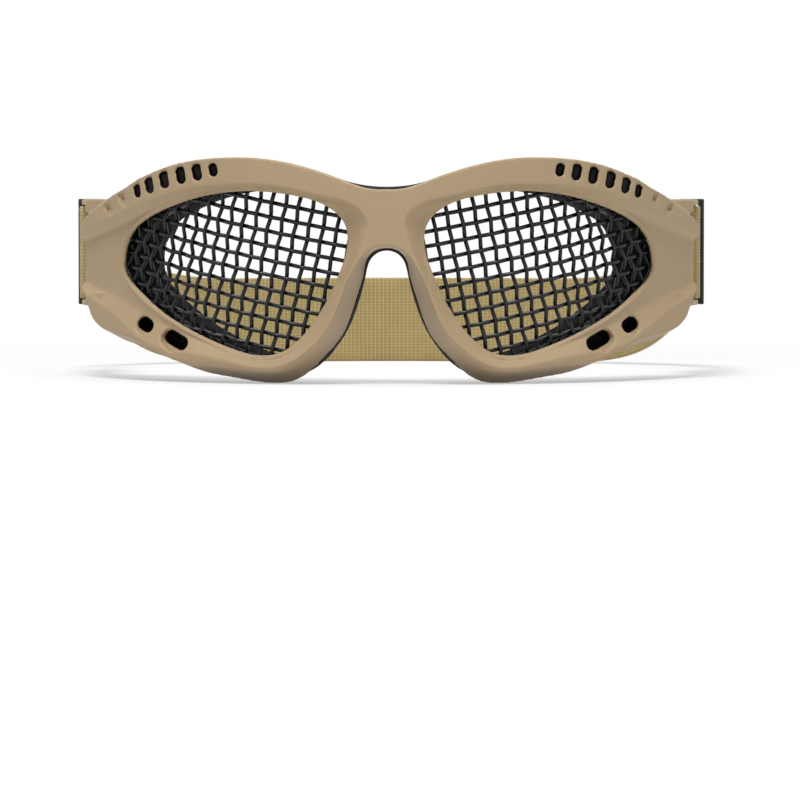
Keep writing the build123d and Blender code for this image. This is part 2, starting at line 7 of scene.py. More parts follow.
import bmesh
import bpy
import numpy as np
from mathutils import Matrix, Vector


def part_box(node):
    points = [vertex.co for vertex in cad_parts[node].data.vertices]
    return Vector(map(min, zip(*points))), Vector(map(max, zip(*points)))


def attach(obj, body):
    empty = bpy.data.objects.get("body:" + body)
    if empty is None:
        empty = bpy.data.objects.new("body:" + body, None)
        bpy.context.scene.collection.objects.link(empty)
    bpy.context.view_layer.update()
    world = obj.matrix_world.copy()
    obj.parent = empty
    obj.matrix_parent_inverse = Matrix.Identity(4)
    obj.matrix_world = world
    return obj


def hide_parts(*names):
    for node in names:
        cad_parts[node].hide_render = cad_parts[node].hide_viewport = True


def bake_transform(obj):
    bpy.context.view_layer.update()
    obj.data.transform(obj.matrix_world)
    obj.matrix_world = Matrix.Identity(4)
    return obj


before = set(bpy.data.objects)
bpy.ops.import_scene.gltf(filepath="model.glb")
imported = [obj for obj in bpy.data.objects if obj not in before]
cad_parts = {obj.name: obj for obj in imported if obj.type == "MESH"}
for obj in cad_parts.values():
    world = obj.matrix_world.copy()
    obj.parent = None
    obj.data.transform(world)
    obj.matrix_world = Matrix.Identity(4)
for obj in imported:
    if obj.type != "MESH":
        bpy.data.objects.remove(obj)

log = logging.getLogger("mesh_goggles")
MM = 0.001
MERGE_DISTANCE = 2e-6
WHITE = (1.0, 1.0, 1.0, 1.0)
BRIDGE_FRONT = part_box("frame_shell")[0].y

Colour = tuple[float, float, float]
Place = tuple[float, float]
Point = tuple[float, float, float]


class Side(Enum):
    """Which half of the goggles a piece belongs to, seen from the front."""

    LEFT = "left"
    RIGHT = "right"

    @property
    def sign(self) -> float:
        """Direction of this side along X."""
        return 1.0 if self is Side.RIGHT else -1.0

    def node(self, name: str) -> str:
        """Name of this side's CAD node."""
        return f"{self.value}_{name}"


class Weave(Enum):
    """The two directions of wire in the cloth."""

    WARP = "warp"
    WEFT = "weft"


class Shaded(Enum):
    """What a shader tree belongs to, with the type of its output node."""

    MATERIAL = "ShaderNodeOutputMaterial"
    WORLD = "ShaderNodeOutputWorld"


# Node trees and expressions


class Value:
    """A node's output that takes part in Python expressions.

    Args:
        graph: The graph that new nodes go into.
        socket: The output socket that is wrapped.
    """

    def __init__(self, graph: "NodeGraph", socket: bpy.types.NodeSocket) -> None:
        """Keeps the graph and the socket."""
        self.graph = graph
        self.socket = socket

    def _math(self, operation: str, *values: "Value | float") -> "Value":
        """Adds a Math node for the given operation."""
        return self.graph.node("ShaderNodeMath", {"operation": operation}, dict(enumerate(values)))

    def __add__(self, other: "Value | float") -> "Value":
        """Sum of two values."""
        return self._math("ADD", self, other)

    __radd__ = __add__

    def __sub__(self, other: "Value | float") -> "Value":
        """This value less another."""
        return self._math("SUBTRACT", self, other)

    def __rsub__(self, other: float) -> "Value":
        """A number less this value."""
        return self._math("SUBTRACT", other, self)

    def __mul__(self, other: "Value | float") -> "Value":
        """Product of two values."""
        return self._math("MULTIPLY", self, other)

    __rmul__ = __mul__

    def wave(self, length: float) -> "Value":
        """Wave between zero and one that repeats after each length of this value."""
        return self._math("SINE", self * (2 * math.pi / length)) * 0.5 + 0.5

    def clamped(self) -> "Value":
        """This value held between zero and one."""
        return self.graph.node("ShaderNodeClamp", {}, {"Value": self})

    def other(self, output: str) -> "Value":
        """Another output of the same node."""
        return Value(self.graph, self.socket.node.outputs[output])


class NodeGraph:
    """A node tree, with one method that adds any node.

    Args:
        tree: The tree that new nodes go into.
    """

    def __init__(self, tree: bpy.types.NodeTree) -> None:
        """Keeps the tree."""
        self.tree = tree

    def node(self, kind: str, settings: dict, inputs: dict, output: int | str = 0) -> Value:
        """Adds a node of any type.

        Args:
            kind: The node's type name.
            settings: Attributes that are set first.
            inputs: Values or links by socket name or number.
            output: The output socket that is returned, by name or number.

        Returns:
            The chosen output.
        """
        made = self.tree.nodes.new(kind)
        for name, value in settings.items():
            setattr(made, name, value)
        for name, value in inputs.items():
            if isinstance(value, Value):
                self.tree.links.new(value.socket, made.inputs[name])
            else:
                made.inputs[name].default_value = value
        return Value(self, made.outputs[output])


class ShaderGraph(NodeGraph):
    """The node tree of a new material or world.

    Args:
        name: Name of the new material or world.
        kind: What the tree belongs to.
    """

    def __init__(self, name: str, kind: Shaded = Shaded.MATERIAL) -> None:
        """Makes the tree with its output node alone."""
        self.owner = (bpy.data.materials if kind is Shaded.MATERIAL else bpy.data.worlds).new(name)
        self.owner.use_nodes = True
        super().__init__(self.owner.node_tree)
        self.tree.nodes.clear()
        self.output = self.tree.nodes.new(kind.value)

    def object_point(self) -> Value:
        """Object coordinates of the shaded point."""
        return self.node("ShaderNodeTexCoord", {}, {}, "Object")

    def noise(self, per_metre: float, detail: float = 2.0) -> Value:
        """Noise between zero and one, with so many features per metre."""
        inputs = {"Vector": self.object_point(), "Scale": per_metre, "Detail": detail}
        return self.node("ShaderNodeTexNoise", {}, inputs)

    def bumped(self, height: Value, distance: float, strength: float) -> Value:
        """Normal raised by a height value.

        Args:
            height: The height, where one unit is the distance.
            distance: Height of one unit, in metres.
            strength: Share of the effect.

        Returns:
            The new normal.
        """
        inputs = {"Height": height, "Distance": distance, "Strength": strength}
        return self.node("ShaderNodeBump", {}, inputs)

    def blended(self, share: Value, low: Value | Colour, high: Value | Colour) -> Value:
        """Colour between two colours.

        Args:
            share: Zero for the low colour, one for the high one.
            low: The low colour.
            high: The high colour.

        Returns:
            The colour output of a Mix node, whose colours are its sockets 6 and 7.
        """
        low, high = (end if isinstance(end, Value) else (*end, 1.0) for end in (low, high))
        return self.node("ShaderNodeMix", {"data_type": "RGBA"}, {0: share, 6: low, 7: high}, 2)

    def background_rays(self) -> Value:
        """One for rays that show the background: seen by the camera, reflected or through glass."""
        camera = self.node("ShaderNodeLightPath", {}, {}, "Is Camera Ray")
        return (camera + camera.other("Is Glossy Ray") + camera.other("Is Transmission Ray")).clamped()

    def finished(self, shader: Value) -> bpy.types.Material | bpy.types.World:
        """Links the closing shader and gives the finished material or world."""
        self.tree.links.new(shader.socket, self.output.inputs["Surface"])
        return self.owner

    def principled(self, inputs: dict) -> bpy.types.Material:
        """Finishes the material with one Principled shader."""
        return self.finished(self.node("ShaderNodeBsdfPrincipled", {}, inputs))


# Finishes


@dataclass(frozen=True)
class MouldedPlastic:
    """Moulded plastic with a fine spark-eroded grain, and painted shade in near black where the attribute
    "shade" marks it.
    """

    name: str
    colour: Colour
    roughness: float = 0.5
    roughness_spread: float = 0.1
    darkest: float = 0.95
    lightest: float = 1.04
    clouds_per_metre: float = 55.0
    grain_per_metre: float = 2600.0
    grain_height: float = 0.00003
    grain_strength: float = 0.6
    specular: float = 0.3
    # Near-black colour of the painted shade on hidden walls.
    painted_shade_colour: Colour = (0.012, 0.011, 0.010)

    def build(self) -> bpy.types.Material:
        """Makes the material.

        Returns:
            The finished material.
        """
        graph = ShaderGraph(self.name)
        clouds = graph.noise(self.clouds_per_metre)
        grain = graph.noise(self.grain_per_metre)
        low = tuple(part * self.darkest for part in self.colour)
        high = tuple(min(1.0, part * self.lightest) for part in self.colour)
        # Point attribute that marks where shade is painted on the shell.
        shade = graph.node("ShaderNodeAttribute", {"attribute_name": "shade"}, {}, "Fac")
        return graph.principled(
            {
                "Base Color": graph.blended(shade, graph.blended(clouds, low, high), self.painted_shade_colour),
                "Roughness": clouds * self.roughness_spread + (self.roughness - self.roughness_spread / 2),
                "Normal": graph.bumped(grain, self.grain_height, self.grain_strength),
                "Specular IOR Level": self.specular,
            }
        )


@dataclass(frozen=True)
class PaintedSteel:
    """Black paint on steel wire, a little thin in patches."""

    name: str = "black_painted_steel"
    colour: Colour = (0.004, 0.004, 0.0045)
    thin: Colour = (0.014, 0.014, 0.015)
    roughness: float = 0.2
    roughness_spread: float = 0.16
    patches_per_metre: float = 420.0
    skin_per_metre: float = 2400.0
    skin_height: float = 0.00004
    skin_strength: float = 0.5
    specular: float = 0.3
    coat: float = 0.06
    coat_roughness: float = 0.2

    def build(self) -> bpy.types.Material:
        """Makes the material.

        Returns:
            The finished material.
        """
        graph = ShaderGraph(self.name)
        patches = graph.noise(self.patches_per_metre, detail=3.0)
        skin = graph.noise(self.skin_per_metre)
        return graph.principled(
            {
                "Base Color": graph.blended(patches, self.colour, self.thin),
                "Roughness": patches * self.roughness_spread + self.roughness,
                "Normal": graph.bumped(skin, self.skin_height, self.skin_strength),
                "Specular IOR Level": self.specular,
                "Coat Weight": self.coat,
                "Coat Roughness": self.coat_roughness,
            }
        )


@dataclass(frozen=True)
class OpenCellFoam:
    """Black foam with small open cells, with shade painted in their pits."""

    name: str = "black_foam"
    # Colours in the cell pits, where shade is painted, and on the cell crowns; random wear mixes in as
    # well.
    deep: Colour = (0.010, 0.010, 0.011)
    crown: Colour = (0.034, 0.034, 0.035)
    cells_per_metre: float = 1500.0
    cell_slope: float = 1.3
    painted_cell_shade: float = 0.7
    wear_per_metre: float = 90.0
    roughness: float = 0.93
    cell_depth: float = 0.0003
    cell_strength: float = 0.8
    specular: float = 0.2

    def build(self) -> bpy.types.Material:
        """Makes the material.

        Returns:
            The finished material.
        """
        graph = ShaderGraph(self.name)
        inputs = {"Vector": graph.object_point(), "Scale": self.cells_per_metre}
        distance = graph.node("ShaderNodeTexVoronoi", {"feature": "F1"}, inputs, "Distance")
        cells = (distance * self.cell_slope).clamped()
        wear = graph.noise(self.wear_per_metre, detail=3.0)
        # Shade is painted in the cell pits, mixed with random wear.
        share = cells * self.painted_cell_shade + wear * (1.0 - self.painted_cell_shade)
        return graph.principled(
            {
                "Base Color": graph.blended(share, self.deep, self.crown),
                "Roughness": self.roughness,
                "Normal": graph.bumped(cells, self.cell_depth, self.cell_strength),
                "Specular IOR Level": self.specular,
            }
        )


@dataclass(frozen=True)
class RibbedWebbing:
    """Knitted elastic webbing, read along its own map: U runs along the strap, V across it, in metres."""

    name: str = "khaki_webbing"
    colour: Colour = (0.515, 0.400, 0.172)
    # Dark colour: painted shade in the hollows between ribs and cords, and the low end of the random wear.
    painted_shade_and_wear: Colour = (0.270, 0.205, 0.085)
    rib: float = 0.0012
    cord: float = 0.0009
    rib_share: float = 0.55
    painted_knit_shade: float = 0.75
    wear_share: float = 0.35
    wear_per_metre: float = 140.0
    knit_relief: float = 0.8
    fuzz_relief: float = 0.4
    fuzz_per_metre: float = 5200.0
    relief: float = 0.00016
    relief_strength: float = 0.9
    roughness: float = 0.88
    specular: float = 0.25
    sheen: float = 0.25
    sheen_roughness: float = 0.5

    def build(self) -> bpy.types.Material:
        """Makes the material.

        Returns:
            The finished material.
        """
        graph = ShaderGraph(self.name)
        mapped = graph.node("ShaderNodeUVMap", {"uv_map": "weave"}, {})
        along = graph.node("ShaderNodeSeparateXYZ", {}, {0: mapped}, "X")
        across = along.other("Y")
        knit = along.wave(self.rib) * self.rib_share + across.wave(self.cord) * (1.0 - self.rib_share)
        wear = graph.noise(self.wear_per_metre, detail=3.0)
        # Shade is painted into the hollows of the knit, mixed with random wear.
        share = (knit * self.painted_knit_shade + wear * self.wear_share).clamped()
        fuzz = graph.noise(self.fuzz_per_metre)
        height = knit * self.knit_relief + fuzz * self.fuzz_relief
        return graph.principled(
            {
                "Base Color": graph.blended(share, self.painted_shade_and_wear, self.colour),
                "Roughness": self.roughness,
                "Normal": graph.bumped(height, self.relief, self.relief_strength),
                "Specular IOR Level": self.specular,
                "Sheen Weight": self.sheen,
                "Sheen Roughness": self.sheen_roughness,
            }
        )


@dataclass(frozen=True)
class SewingThread:
    """Twisted polyester thread, with shade painted in the low parts of its twist."""

    name: str = "khaki_thread"
    colour: Colour = (0.46, 0.35, 0.14)
    darkest: float = 0.6
    twists_per_metre: float = 3200.0
    twist_height: float = 0.00006
    twist_strength: float = 0.7
    roughness: float = 0.7

    def build(self) -> bpy.types.Material:
        """Makes the material.

        Returns:
            The finished material.
        """
        graph = ShaderGraph(self.name)
        twist = graph.noise(self.twists_per_metre)
        # Darker in the low parts of the twist relief: painted shade.
        low = tuple(part * self.darkest for part in self.colour)
        return graph.principled(
            {
                "Base Color": graph.blended(twist, low, self.colour),
                "Roughness": self.roughness,
                "Normal": graph.bumped(twist, self.twist_height, self.twist_strength),
            }
        )


@dataclass(frozen=True)
class StudioWhite:
    """Pale matte surface of the studio that shows as white from some way off the goggles, in metres."""

    name: str
    white_from: float
    white_at: float
    white_near: float = 0.0
    grey: Colour = (0.86, 0.86, 0.86)

    def build(self) -> bpy.types.Material:
        """Makes the material.

        Returns:
            The finished material.
        """
        graph = ShaderGraph(self.name)
        point = graph.object_point()
        distance = graph.node("ShaderNodeVectorMath", {"operation": "LENGTH"}, {0: point}, "Value")
        far = ((distance - self.white_from) * (1.0 / (self.white_at - self.white_from))).clamped()
        white_share = graph.background_rays() * (far * (1.0 - self.white_near) + self.white_near)
        matte = graph.node("ShaderNodeBsdfDiffuse", {}, {"Color": (*self.grey, 1.0)})
        white = graph.node("ShaderNodeEmission", {}, {"Color": WHITE, "Strength": 1.0})
        return graph.finished(graph.node("ShaderNodeMixShader", {}, {0: white_share, 1: matte, 2: white}))


# Meshes


class GeometryTree(NodeGraph):
    """A Geometry Nodes tree that starts from a guide and ends in realised, dressed geometry.

    Args:
        name: Name of the tree.
        material: Material that the tree sets at its end.
    """

    def __init__(self, name: str, material: bpy.types.Material) -> None:
        """Makes the tree with its start and its end."""
        super().__init__(bpy.data.node_groups.new(name, "GeometryNodeTree"))
        for way in ("INPUT", "OUTPUT"):
            self.tree.interface.new_socket(name="Geometry", in_out=way, socket_type="NodeSocketGeometry")
        self.start = self.tree.nodes.new("NodeGroupInput")
        self.end = self.tree.nodes.new("NodeGroupOutput")
        self.material = material
        self.sizes: dict[str, float] = {}

    @property
    def guide(self) -> Value:
        """Geometry of the guide."""
        return Value(self, self.start.outputs[0])

    def size(self, name: str, value: float) -> Value:
        """Adds a named input, for whole numbers where its value is one.

        Args:
            name: The input's name.
            value: The input's value.

        Returns:
            The input, to be used in the tree.
        """
        kind = "NodeSocketInt" if isinstance(value, int) else "NodeSocketFloat"
        item = self.tree.interface.new_socket(name=name, in_out="INPUT", socket_type=kind)
        item.default_value = value
        self.sizes[item.identifier] = value
        return Value(self, next(out for out in self.start.outputs if out.identifier == item.identifier))

    def tube(self, line: Value, sides: Value | int, radius: Value) -> Value:
        """Round rods along curves.

        Args:
            line: The curves.
            sides: Number of sides of the section.
            radius: Radius of the section.

        Returns:
            The rods, with closed ends.
        """
        circle = {"Resolution": sides, "Radius": radius}
        section = self.node("GeometryNodeCurvePrimitiveCircle", {"mode": "RADIUS"}, circle)
        inputs = {"Curve": line, "Profile Curve": section, "Fill Caps": True}
        return self.node("GeometryNodeCurveToMesh", {}, inputs)

    def finish(self, geometry: Value) -> None:
        """Ends the tree in Realize Instances and Set Material.

        Args:
            geometry: What the tree has made.
        """
        realised = self.node("GeometryNodeRealizeInstances", {}, {"Geometry": geometry})
        inputs = {"Geometry": realised, "Material": self.material}
        dressed = self.node("GeometryNodeSetMaterial", {}, inputs)
        self.tree.links.new(dressed.socket, self.end.inputs[0])

    def apply(self, name: str, guide: bpy.types.Object) -> bpy.types.Object:
        """Runs the tree on a guide and keeps the result as a plain mesh.

        Args:
            name: Name of the finished piece.
            guide: Mesh object that the tree starts from; it is removed.

        Returns:
            The finished object.
        """
        modifier = guide.modifiers.new(self.tree.name, "NODES")
        modifier.node_group = self.tree
        for identifier, value in self.sizes.items():
            modifier[identifier] = value
        return baked(name, guide, self.material)


def baked(name: str, source: bpy.types.Object, material: bpy.types.Material) -> bpy.types.Object:
    """Turns an object and its modifiers into a plain mesh.

    Args:
        name: Name of the finished piece.
        source: Object with live modifiers; it is removed.
        material: Material of the finished piece.

    Returns:
        The finished object, at the origin.
    """
    bpy.context.view_layer.update()
    graph = bpy.context.evaluated_depsgraph_get()
    mesh = bpy.data.meshes.new_from_object(source.evaluated_get(graph), depsgraph=graph)
    mesh.name = name
    bpy.data.objects.remove(source)
    made = bpy.data.objects.new(name, mesh)
    bpy.context.scene.collection.objects.link(made)
    mesh.materials.clear()
    mesh.materials.append(material)
    mesh.shade_smooth()
    return made


def mesh_object(name: str, points: np.ndarray, edges: list, faces: list) -> bpy.types.Object:
    """Makes an object from points in metres.

    Args:
        name: Name of the object.
        points: Array of points.
        edges: Pairs of point numbers.
        faces: Lists of point numbers.

    Returns:
        The new object.
    """
    mesh = bpy.data.meshes.new(name)
    mesh.from_pydata([tuple(point) for point in points], edges, faces)
    mesh.update()
    made = bpy.data.objects.new(name, mesh)
    bpy.context.scene.collection.objects.link(made)
    return made


def in_row(points: np.ndarray) -> np.ndarray:
    """Moves points into the row's frame.

    Args:
        points: Points in millimetres, with Y behind the bridge's front.

    Returns:
        The points in metres.
    """
    moved = np.asarray(points, float) * MM
    moved[..., 1] += BRIDGE_FRONT
    return moved


def points_of(mesh: bpy.types.Mesh) -> np.ndarray:
    """Reads the points of a mesh.

    Args:
        mesh: The mesh.

    Returns:
        Its points in metres.
    """
    spots = np.zeros(len(mesh.vertices) * 3)
    mesh.vertices.foreach_get("co", spots)
    return spots.reshape(-1, 3)


def set_points(mesh: bpy.types.Mesh, spots: np.ndarray) -> None:
    """Moves the points of a mesh.

    Args:
        mesh: The mesh.
        spots: The new points in metres.
    """
    mesh.vertices.foreach_set("co", spots.ravel())
    mesh.update()


def ring_faces(rows: int, ring: int, joined: bool) -> list[list[int]]:
    """Faces between rings of points that follow one another.

    Args:
        rows: Number of rings.
        ring: Points in each ring.
        joined: Whether the last ring meets the first, or else both have a cap.

    Returns:
        The faces as lists of point numbers.
    """
    faces = []
    for row in range(rows if joined else rows - 1):
        near, far = row * ring, (row + 1) % rows * ring
        faces += [[near + n, near + (n + 1) % ring, far + (n + 1) % ring, far + n] for n in range(ring)]
    if not joined:
        faces.append(list(range(ring))[::-1])
        faces.append([(rows - 1) * ring + n for n in range(ring)])
    return faces


def turned_outwards(piece: bpy.types.Object) -> bpy.types.Object:
    """Turns all faces of a closed piece outwards.

    Args:
        piece: The piece.

    Returns:
        The same piece.
    """
    work = bmesh.new()
    work.from_mesh(piece.data)
    bmesh.ops.recalc_face_normals(work, faces=work.faces)
    work.to_mesh(piece.data)
    work.free()
    return piece


def closed_piece(
    name: str, points: np.ndarray, faces: list, material: bpy.types.Material
) -> bpy.types.Object:
    """Makes a smooth closed piece.

    Args:
        name: Name of the finished piece.
        points: Points in millimetres, with Y behind the bridge's front.
        faces: Lists of point numbers.
        material: Material of the piece.

    Returns:
        The finished object.
    """
    piece = turned_outwards(mesh_object(name, in_row(points), [], faces))
    piece.data.materials.append(material)
    piece.data.shade_smooth()
    return piece


def thinned(
    name: str, piece: bpy.types.Object, share: float, material: bpy.types.Material
) -> bpy.types.Object:
    """Leaves out faces where a piece is flat.

    Args:
        name: Name of the finished piece.
        piece: Piece that is thinned; it is removed.
        share: Share of the faces that is kept.
        material: Material of the finished piece.

    Returns:
        The finished object.
    """
    fewer = piece.modifiers.new("fewer", "DECIMATE")
    fewer.ratio = share
    return baked(name, piece, material)


def softened(
    name: str,
    node: str,
    voxel: float,
    rounds: int,
    material: bpy.types.Material,
    cutter: bpy.types.Object | None = None,
    moved: Callable[[np.ndarray], np.ndarray] | None = None,
) -> bpy.types.Object:
    """Copies a CAD node as a moulded form with soft edges.

    Args:
        name: Name of the finished piece.
        node: CAD node to start from.
        voxel: Grid size of the remesh, in metres.
        rounds: Rounds of smoothing.
        material: Material of the piece.
        cutter: Form that is cut out first; it is removed.
        moved: Gives the points, in metres, their new places before the cut.

    Returns:
        The finished object.
    """
    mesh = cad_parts[node].data.copy()
    work = bmesh.new()
    work.from_mesh(mesh)
    bmesh.ops.remove_doubles(work, verts=work.verts, dist=MERGE_DISTANCE)
    work.to_mesh(mesh)
    work.free()
    if moved:
        set_points(mesh, moved(points_of(mesh)))
    made = bpy.data.objects.new(name, mesh)
    bpy.context.scene.collection.objects.link(made)
    if cutter:
        cut = made.modifiers.new("cut", "BOOLEAN")
        cut.operation = "DIFFERENCE"
        cut.solver = "EXACT"
        cut.object = cutter
    remesh = made.modifiers.new("remesh", "REMESH")
    remesh.mode = "VOXEL"
    remesh.voxel_size = voxel
    smooth = made.modifiers.new("smooth", "SMOOTH")
    smooth.factor = 0.5
    smooth.iterations = rounds
    piece = baked(name, made, material)
    if cutter:
        bpy.data.objects.remove(cutter)
    return piece


# Wrapped surfaces and outlines, in millimetres


@dataclass(frozen=True)
class WrapSurface:
    """Upright surface that wraps round the face: an arc in plan, then straight to the temple."""

    radius: float
    centre: float
    turn: float = math.radians(58.0)

    def arc(self, x: float) -> float:
        """Arc length from the middle to a place in the front view.

        Args:
            x: Distance from the middle in the front view.

        Returns:
            The length along the surface, with the sign of x.
        """
        reach = self.radius * math.sin(self.turn)
        if abs(x) <= reach:
            return self.radius * math.asin(x / self.radius)
        rest = (abs(x) - reach) / math.cos(self.turn)
        return math.copysign(self.radius * self.turn + rest, x)

    def spots(self, places: np.ndarray, depth: float) -> np.ndarray:
        """Points so deep behind the surface.

        Args:
            places: Arc lengths and heights.
            depth: Distance behind the surface.

        Returns:
            The points, with Y behind the bridge's front.
        """
        turns = np.clip(places[:, 0] / self.radius, -self.turn, self.turn)
        rest = places[:, 0] - self.radius * turns
        radius = self.radius - depth
        across = radius * np.sin(turns) + rest * np.cos(turns)
        back = self.centre - radius * np.cos(turns) + rest * np.sin(turns)
        return np.column_stack([across, back, places[:, 1]])

    def unrolled(self, x: np.ndarray, y: np.ndarray) -> tuple[np.ndarray, np.ndarray, np.ndarray]:
        """Where points of the right half lie on the surface.

        Args:
            x: Distances from the middle.
            y: Distances behind the bridge's front.

        Returns:
            The points' turns, arc lengths and depths behind the surface.
        """
        turns = np.clip(np.arctan2(x, self.centre - y), 0, self.turn)
        along = x * np.cos(turns) + (y - self.centre) * np.sin(turns)
        depths = self.radius - x * np.sin(turns) + (y - self.centre) * np.cos(turns)
        return turns, self.radius * turns + along, depths


@dataclass(frozen=True)
class LensOutline:
    """Edge of the right lens opening on the recess floor."""

    floor: WrapSurface = WrapSurface(radius=81.18, centre=85.18)
    half_width: float = 82.0
    height: float = 57.5
    samples: int = 10
    shares: tuple[Place, ...] = (
        (0.843, 0.531), (0.826, 0.640), (0.775, 0.719), (0.692, 0.777), (0.560, 0.832),
        (0.422, 0.850), (0.270, 0.828), (0.165, 0.778), (0.126, 0.722), (0.118, 0.640),
        (0.145, 0.490), (0.200, 0.325), (0.262, 0.205), (0.325, 0.138), (0.384, 0.124),
        (0.474, 0.150), (0.612, 0.230), (0.735, 0.335), (0.807, 0.425),
    )

    def places(self) -> np.ndarray:
        """Corners of the outline, as arc lengths and heights."""
        return np.array([(self.floor.arc(x * self.half_width), z * self.height) for x, z in self.shares])

    def ring(self, distance: float) -> np.ndarray:
        """Smooth outline so far outside the opening.

        Args:
            distance: How far the outline is moved outwards.

        Returns:
            Places round the outline, always as many.
        """
        places = self.places()
        ahead = np.roll(places, -1, 0) - np.roll(places, 1, 0)
        ahead /= np.linalg.norm(ahead, axis=1)[:, None]
        after = np.roll(places, -1, 0)
        area = (places[:, 0] * after[:, 1] - places[:, 1] * after[:, 0]).sum()
        moved = places + np.stack([ahead[:, 1], -ahead[:, 0]], 1) * math.copysign(distance, area)
        a, b, c, d = (np.roll(moved, shift, 0)[:, None] for shift in (1, 0, -1, -2))
        part = np.linspace(0, 1, self.samples, endpoint=False)[None, :, None]
        curve = 2 * b + (c - a) * part
        curve = curve + (2 * a - 5 * b + 4 * c - d) * part**2 + (3 * b - a - 3 * c + d) * part**3
        return curve.reshape(-1, 2) / 2


def within(outline: list[Place] | np.ndarray, across: np.ndarray, up: np.ndarray) -> np.ndarray:
    """Which places lie inside a closed outline.

    Args:
        outline: Corners of the outline.
        across: First coordinates of the places.
        up: Second coordinates of the places.

    Returns:
        True for each place inside.
    """
    inside = np.zeros(len(across), bool)
    for (a_x, a_z), (b_x, b_z) in zip(outline, np.roll(outline, -1, 0)):
        if a_z != b_z:
            spans = (a_z > up) != (b_z > up)
            inside ^= spans & (across < a_x + (b_x - a_x) * (up - a_z) / (b_z - a_z))
    return inside


# Lenses, in millimetres


@dataclass
class FoldedRim:
    """Folded steel channel round one lens, which holds the wire ends.

    The section runs from near to far behind the recess floor and from inner to outer outside the opening.
    """

    side: Side
    outline: LensOutline = LensOutline()
    near: float = 1.05
    far: float = 3.95
    inner: float = 0.2
    outer: float = 1.4
    sheet: float = 0.3
    edge: float = 0.04
    fold: float = 0.25
    fold_middle: float = 0.3

    def _section(self) -> list[Place]:
        """Outline of the channel's section.

        Returns:
            Distances outside the opening and behind the recess floor.
        """
        cut = self.fold * self.fold_middle
        side = [
            (self.inner, self.near + self.sheet - self.edge),
            (self.inner, self.near + self.edge),
            (self.inner + self.edge, self.near),
            (self.outer - self.fold, self.near),
            (self.outer - cut, self.near + cut),
            (self.outer, self.near + self.fold),
        ]
        slot = [
            (self.outer - self.sheet, self.near + self.sheet + self.fold),
            (self.outer - self.sheet - self.fold, self.near + self.sheet),
            (self.inner + self.edge, self.near + self.sheet),
        ]
        middle = self.near + self.far
        return side + [(u, middle - v) for u, v in side[::-1] + slot[::-1]] + slot

    def build(self, material: bpy.types.Material) -> bpy.types.Object:
        """Makes the rim in place of its CAD node.

        Args:
            material: Material of the rim.

        Returns:
            The finished object.
        """
        loops = [self.outline.floor.spots(self.outline.ring(out), depth) for out, depth in self._section()]
        points = np.stack(loops, 1) * np.array((self.side.sign, 1, 1))
        faces = ring_faces(*points.shape[:2], joined=True)
        piece = closed_piece(f"{self.side.value}_rim", points.reshape(-1, 3), faces, material)
        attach(piece, "frame")
        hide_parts(self.side.node("mesh_rim"))
        return piece


